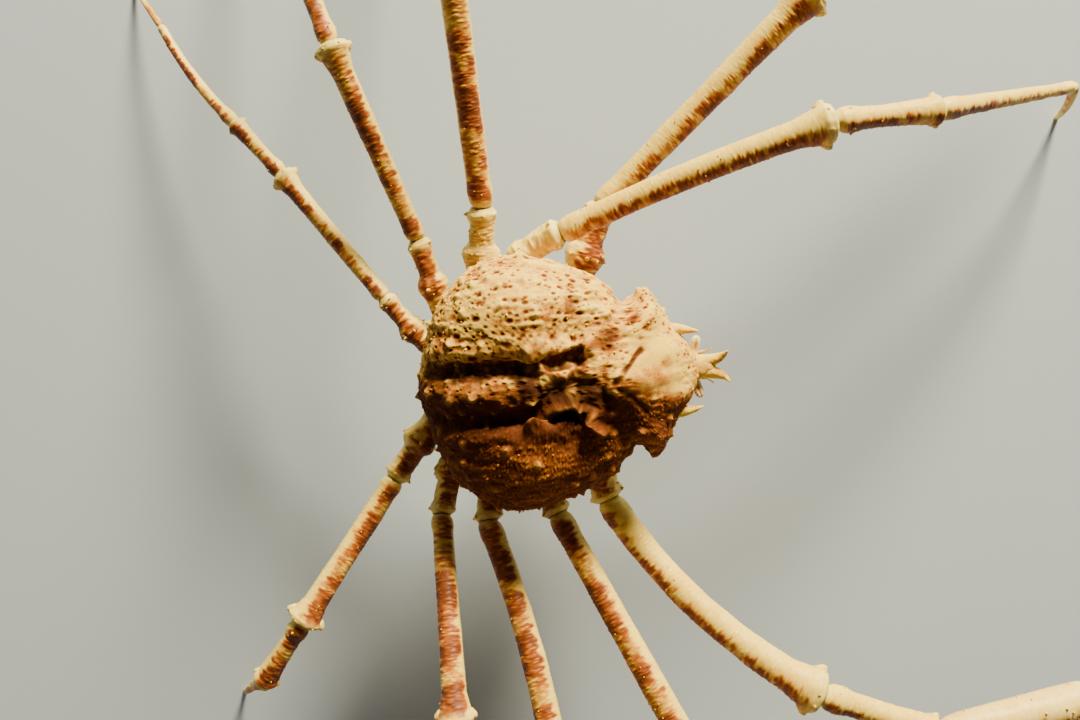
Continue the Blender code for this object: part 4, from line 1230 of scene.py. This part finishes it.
CREAM = (0.92, 0.66, 0.09)
STRAW = (0.76, 0.43, 0.045)
ORANGE = (0.44, 0.105, 0.009)
RUST = (0.16, 0.036, 0.007)
LOOKS = {
    "shell": {
        "stops": (
            (0.0, CREAM), (0.34, (0.74, 0.43, 0.07)), (0.62, (0.36, 0.105, 0.014)),
            (1.0, (0.11, 0.028, 0.008))),
        "dark": (0.034, 0.009, 0.003), "pale": (0.92, 0.72, 0.17), "roughness": 0.64, "shine": 0.04},
    "limb": {
        "stops": ((0.0, (0.90, 0.70, 0.15)), (0.34, STRAW), (0.64, ORANGE), (1.0, RUST)),
        "dark": (0.07, 0.022, 0.007), "pale": (0.92, 0.75, 0.23), "roughness": 0.46},
    "claw": {
        "stops": ((0.0, (0.88, 0.68, 0.24)), (0.4, STRAW), (0.7, ORANGE), (1.0, RUST)),
        "dark": (0.10, 0.03, 0.012), "pale": (0.90, 0.79, 0.46), "roughness": 0.40},
    "underside": {
        "stops": ((0.0, (0.86, 0.70, 0.34)), (0.5, (0.72, 0.46, 0.15)), (1.0, (0.42, 0.17, 0.04))),
        "dark": (0.14, 0.05, 0.02), "pale": (0.88, 0.76, 0.42), "roughness": 0.52},
    "eye": {
        "stops": ((0.0, (0.90, 0.74, 0.36)), (0.5, (0.62, 0.20, 0.05)), (1.0, (0.30, 0.07, 0.02))),
        "dark": (0.05, 0.018, 0.010), "pale": (0.92, 0.80, 0.48), "roughness": 0.26,
        "grain": 300.0, "relief": 0.15},
}


def add_ramp(tree, stops):
    ramp = tree.nodes.new("ShaderNodeValToRGB")
    elements = ramp.color_ramp.elements
    elements[0].position, elements[0].color = stops[0][0], (*stops[0][1], 1)
    elements[1].position, elements[1].color = stops[-1][0], (*stops[-1][1], 1)
    for place, colour in stops[1:-1]:
        elements.new(place).color = (*colour, 1)
    return ramp


def add_reader(tree, name):
    """A node that reads a value which the skin has at each point."""
    reader = tree.nodes.new("ShaderNodeAttribute")
    reader.attribute_name = name
    return reader


def add_node(tree, kind, inputs):
    """A node whose inputs, by name or number, are linked to a socket or hold a constant."""
    made = tree.nodes.new(f"ShaderNode{kind}")
    for name, value in inputs.items():
        if isinstance(value, bpy.types.NodeSocket):
            tree.links.new(value, made.inputs[name])
        else:
            made.inputs[name].default_value = value
    return made


def skin_material(name, stops, dark, pale, roughness, grain=420.0, relief=0.35, shine=0.30):
    """Colour from the skin's tone, which carries painted shade too, broken up by fine grain, with dark pits
    and painted shade, and pale tips.
    """
    made = bpy.data.materials.new(name)
    made.use_nodes = True
    tree = made.node_tree
    way = add_reader(tree, "way").outputs["Vector"]
    noisy = add_node(tree, "TexNoise", {"Vector": way, "Scale": grain, "Detail": 5.0, "Roughness": 0.6})
    fine = noisy.outputs["Fac"]
    shift = add_node(tree, "Math", {0: fine, 1: 0.55, 2: -0.275})
    shift.operation = "MULTIPLY_ADD"
    toned = add_node(tree, "Math", {0: add_reader(tree, "tone").outputs["Fac"], 1: shift.outputs[0]})
    toned.operation = "ADD"
    toned.use_clamp = True
    ramp = add_ramp(tree, stops)
    tree.links.new(toned.outputs[0], ramp.inputs["Fac"])
    colour = ramp.outputs["Color"]
    for look, paint in (("pale", pale), ("dark", dark)):
        mix = add_node(tree, "Mix", {"Factor": add_reader(tree, look).outputs["Fac"]})
        mix.data_type = "RGBA"
        below, above = (socket for socket in mix.inputs if socket.type == "RGBA")
        above.default_value = (*paint, 1)
        tree.links.new(colour, below)
        colour = next(socket for socket in mix.outputs if socket.type == "RGBA")
    span = {"Value": fine, "To Min": roughness - 0.10, "To Max": roughness + 0.14}
    raised = {"Height": fine, "Strength": relief, "Distance": 0.0006}
    for socket, value in (
            ("Base Color", colour),
            ("Roughness", add_node(tree, "MapRange", span).outputs["Result"]),
            ("Normal", add_node(tree, "Bump", raised).outputs["Normal"])):
        tree.links.new(value, tree.nodes["Principled BSDF"].inputs[socket])
    tree.nodes["Principled BSDF"].inputs["Specular IOR Level"].default_value = shine
    return made


# Stage, lights and camera. A pale ring far round the floor is the background of the studio

FLOOR_REACH = 9.0
BACKDROP_RADIUS = 8.9
BACKDROP_HEIGHT = 2.2
BACKDROP_SIDES = 64
KEY_TARGET = Vector((0, 0, 0.27))
KEY_WAY = Vector((2.95, -1.15, 1.08))
KEY_AWAY = 2.2
PHOTO_WIDTH = 1080
FOCAL_PIXELS = 1100
SENSOR_WIDTH = 36.0
CAMERA_PLACE = (0.1892, 0.0221, 1.5983)
CAMERA_TILT = math.radians(7)
CAMERA_ROLL = math.radians(5.2)
FLOOR_TOLERANCE = 0.00001


def add_stage(name, points, faces, roughness, glow):
    made = bpy.data.materials.new(name)
    made.use_nodes = True
    shader = made.node_tree.nodes["Principled BSDF"]
    shader.inputs["Base Color"].default_value = (0.48, 0.56, 0.70, 1)
    shader.inputs["Roughness"].default_value = roughness
    shader.inputs["Emission Color"].default_value = (0.90, 0.92, 1.0, 1)
    shader.inputs["Emission Strength"].default_value = glow
    mesh = bpy.data.meshes.new(name)
    mesh.from_pydata(points, [], faces)
    mesh.materials.append(made)
    piece = bpy.data.objects.new(name, mesh)
    bpy.context.scene.collection.objects.link(piece)


def build_stage():
    reach = FLOOR_REACH
    corners = [(-reach, -reach, 0), (reach, -reach, 0), (reach, reach, 0), (-reach, reach, 0)]
    add_stage("floor", corners, [(0, 1, 2, 3)], roughness=0.85, glow=0.0)
    angles = turns(BACKDROP_SIDES)
    ring = [(BACKDROP_RADIUS * math.cos(turn), BACKDROP_RADIUS * math.sin(turn)) for turn in angles]
    points = [(x, y, z) for z in (0.0, BACKDROP_HEIGHT) for x, y in ring]
    walls = []
    for step in range(BACKDROP_SIDES):
        following = (step + 1) % BACKDROP_SIDES
        walls.append((step, following, following + BACKDROP_SIDES, step + BACKDROP_SIDES))
    add_stage("backdrop", points, walls, roughness=0.9, glow=0.26)


def add_light(name, place, target, size, power, colour):
    lamp = bpy.data.lights.new(name, "AREA")
    lamp.shape = "SQUARE"
    lamp.size = size
    lamp.energy = power
    lamp.color = colour
    item = bpy.data.objects.new(name, lamp)
    item.location = place
    item.rotation_euler = (target - place).to_track_quat("-Z", "Y").to_euler()
    bpy.context.scene.collection.objects.link(item)


def build_light():
    world = bpy.data.worlds.new("studio")
    world.use_nodes = True
    sky = world.node_tree.nodes["Background"]
    sky.inputs["Color"].default_value = (1.0, 0.84, 0.68, 1)
    sky.inputs["Strength"].default_value = 0.05
    bpy.context.scene.world = world
    add_light(
        "key", place=KEY_TARGET + KEY_WAY * KEY_AWAY, target=KEY_TARGET,
        size=0.80 * KEY_AWAY, power=520.0 * KEY_AWAY ** 2, colour=(1.0, 0.88, 0.56))
    add_light(
        "fill", place=Vector((-2.0, 0.6, 2.6)), target=Vector((0, 0, 0.2)),
        size=2.4, power=8.0, colour=(1.0, 0.72, 0.48))


def build_camera():
    """The camera at the photo's viewing angle, which looks down with the front to the right."""
    view = Vector((-math.sin(CAMERA_TILT), 0, -math.cos(CAMERA_TILT)))
    level = Vector((0, -1, 0))
    rise = Vector((math.cos(CAMERA_TILT), 0, -math.sin(CAMERA_TILT)))
    right = level * math.cos(CAMERA_ROLL) - rise * math.sin(CAMERA_ROLL)
    above = level * math.sin(CAMERA_ROLL) + rise * math.cos(CAMERA_ROLL)
    lens = bpy.data.cameras.new("camera")
    lens.sensor_width = SENSOR_WIDTH
    lens.lens = FOCAL_PIXELS / PHOTO_WIDTH * SENSOR_WIDTH
    lens.clip_start = 0.05
    item = bpy.data.objects.new("camera", lens)
    place = Vector(CAMERA_PLACE) + Vector(SHIFT)
    item.matrix_world = Matrix.Translation(place) @ Matrix((right, above, -view)).transposed().to_4x4()
    bpy.context.scene.collection.objects.link(item)
    bpy.context.scene.camera = item


def part_shift():
    """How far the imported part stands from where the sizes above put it, from one of its feet."""
    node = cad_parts["leg2_left_dactylus"]
    on_floor = [point.co for point in node.data.vertices if point.co.z < FLOOR_TOLERANCE]
    foot = sum(on_floor, Vector()) / len(on_floor)
    moved = foot - limb_joints("leg2", LIMB_POSES["leg2_left"])[5]
    return np.array([moved.x, moved.y, 0.0])


SHIFT = part_shift()
MATERIALS = {slot: skin_material(slot, **look) for slot, look in LOOKS.items()}

build_carapace()
for turned, side_name in SIDES:
    for horn_name, (*horn_path, horn_radius) in FRONT_SPINES.items():
        build_horn(f"{horn_name}_{side_name}", mirrored(horn_path, turned), horn_radius, turned)
build_rostrum()
build_chest()
build_tail()
for turned, side_name in SIDES:
    build_jaw_foot(turned, side_name)
    build_eye(turned, side_name)
    build_antenna(turned, side_name)
order = random.Random(SEED + 1)
for number, (limb_name, limb_pose) in enumerate(LIMB_POSES.items()):
    build_limb(limb_name, limb_pose, order, FIRST_SALT + number * LIMB_SALTS)

build_stage()
build_light()
build_camera()
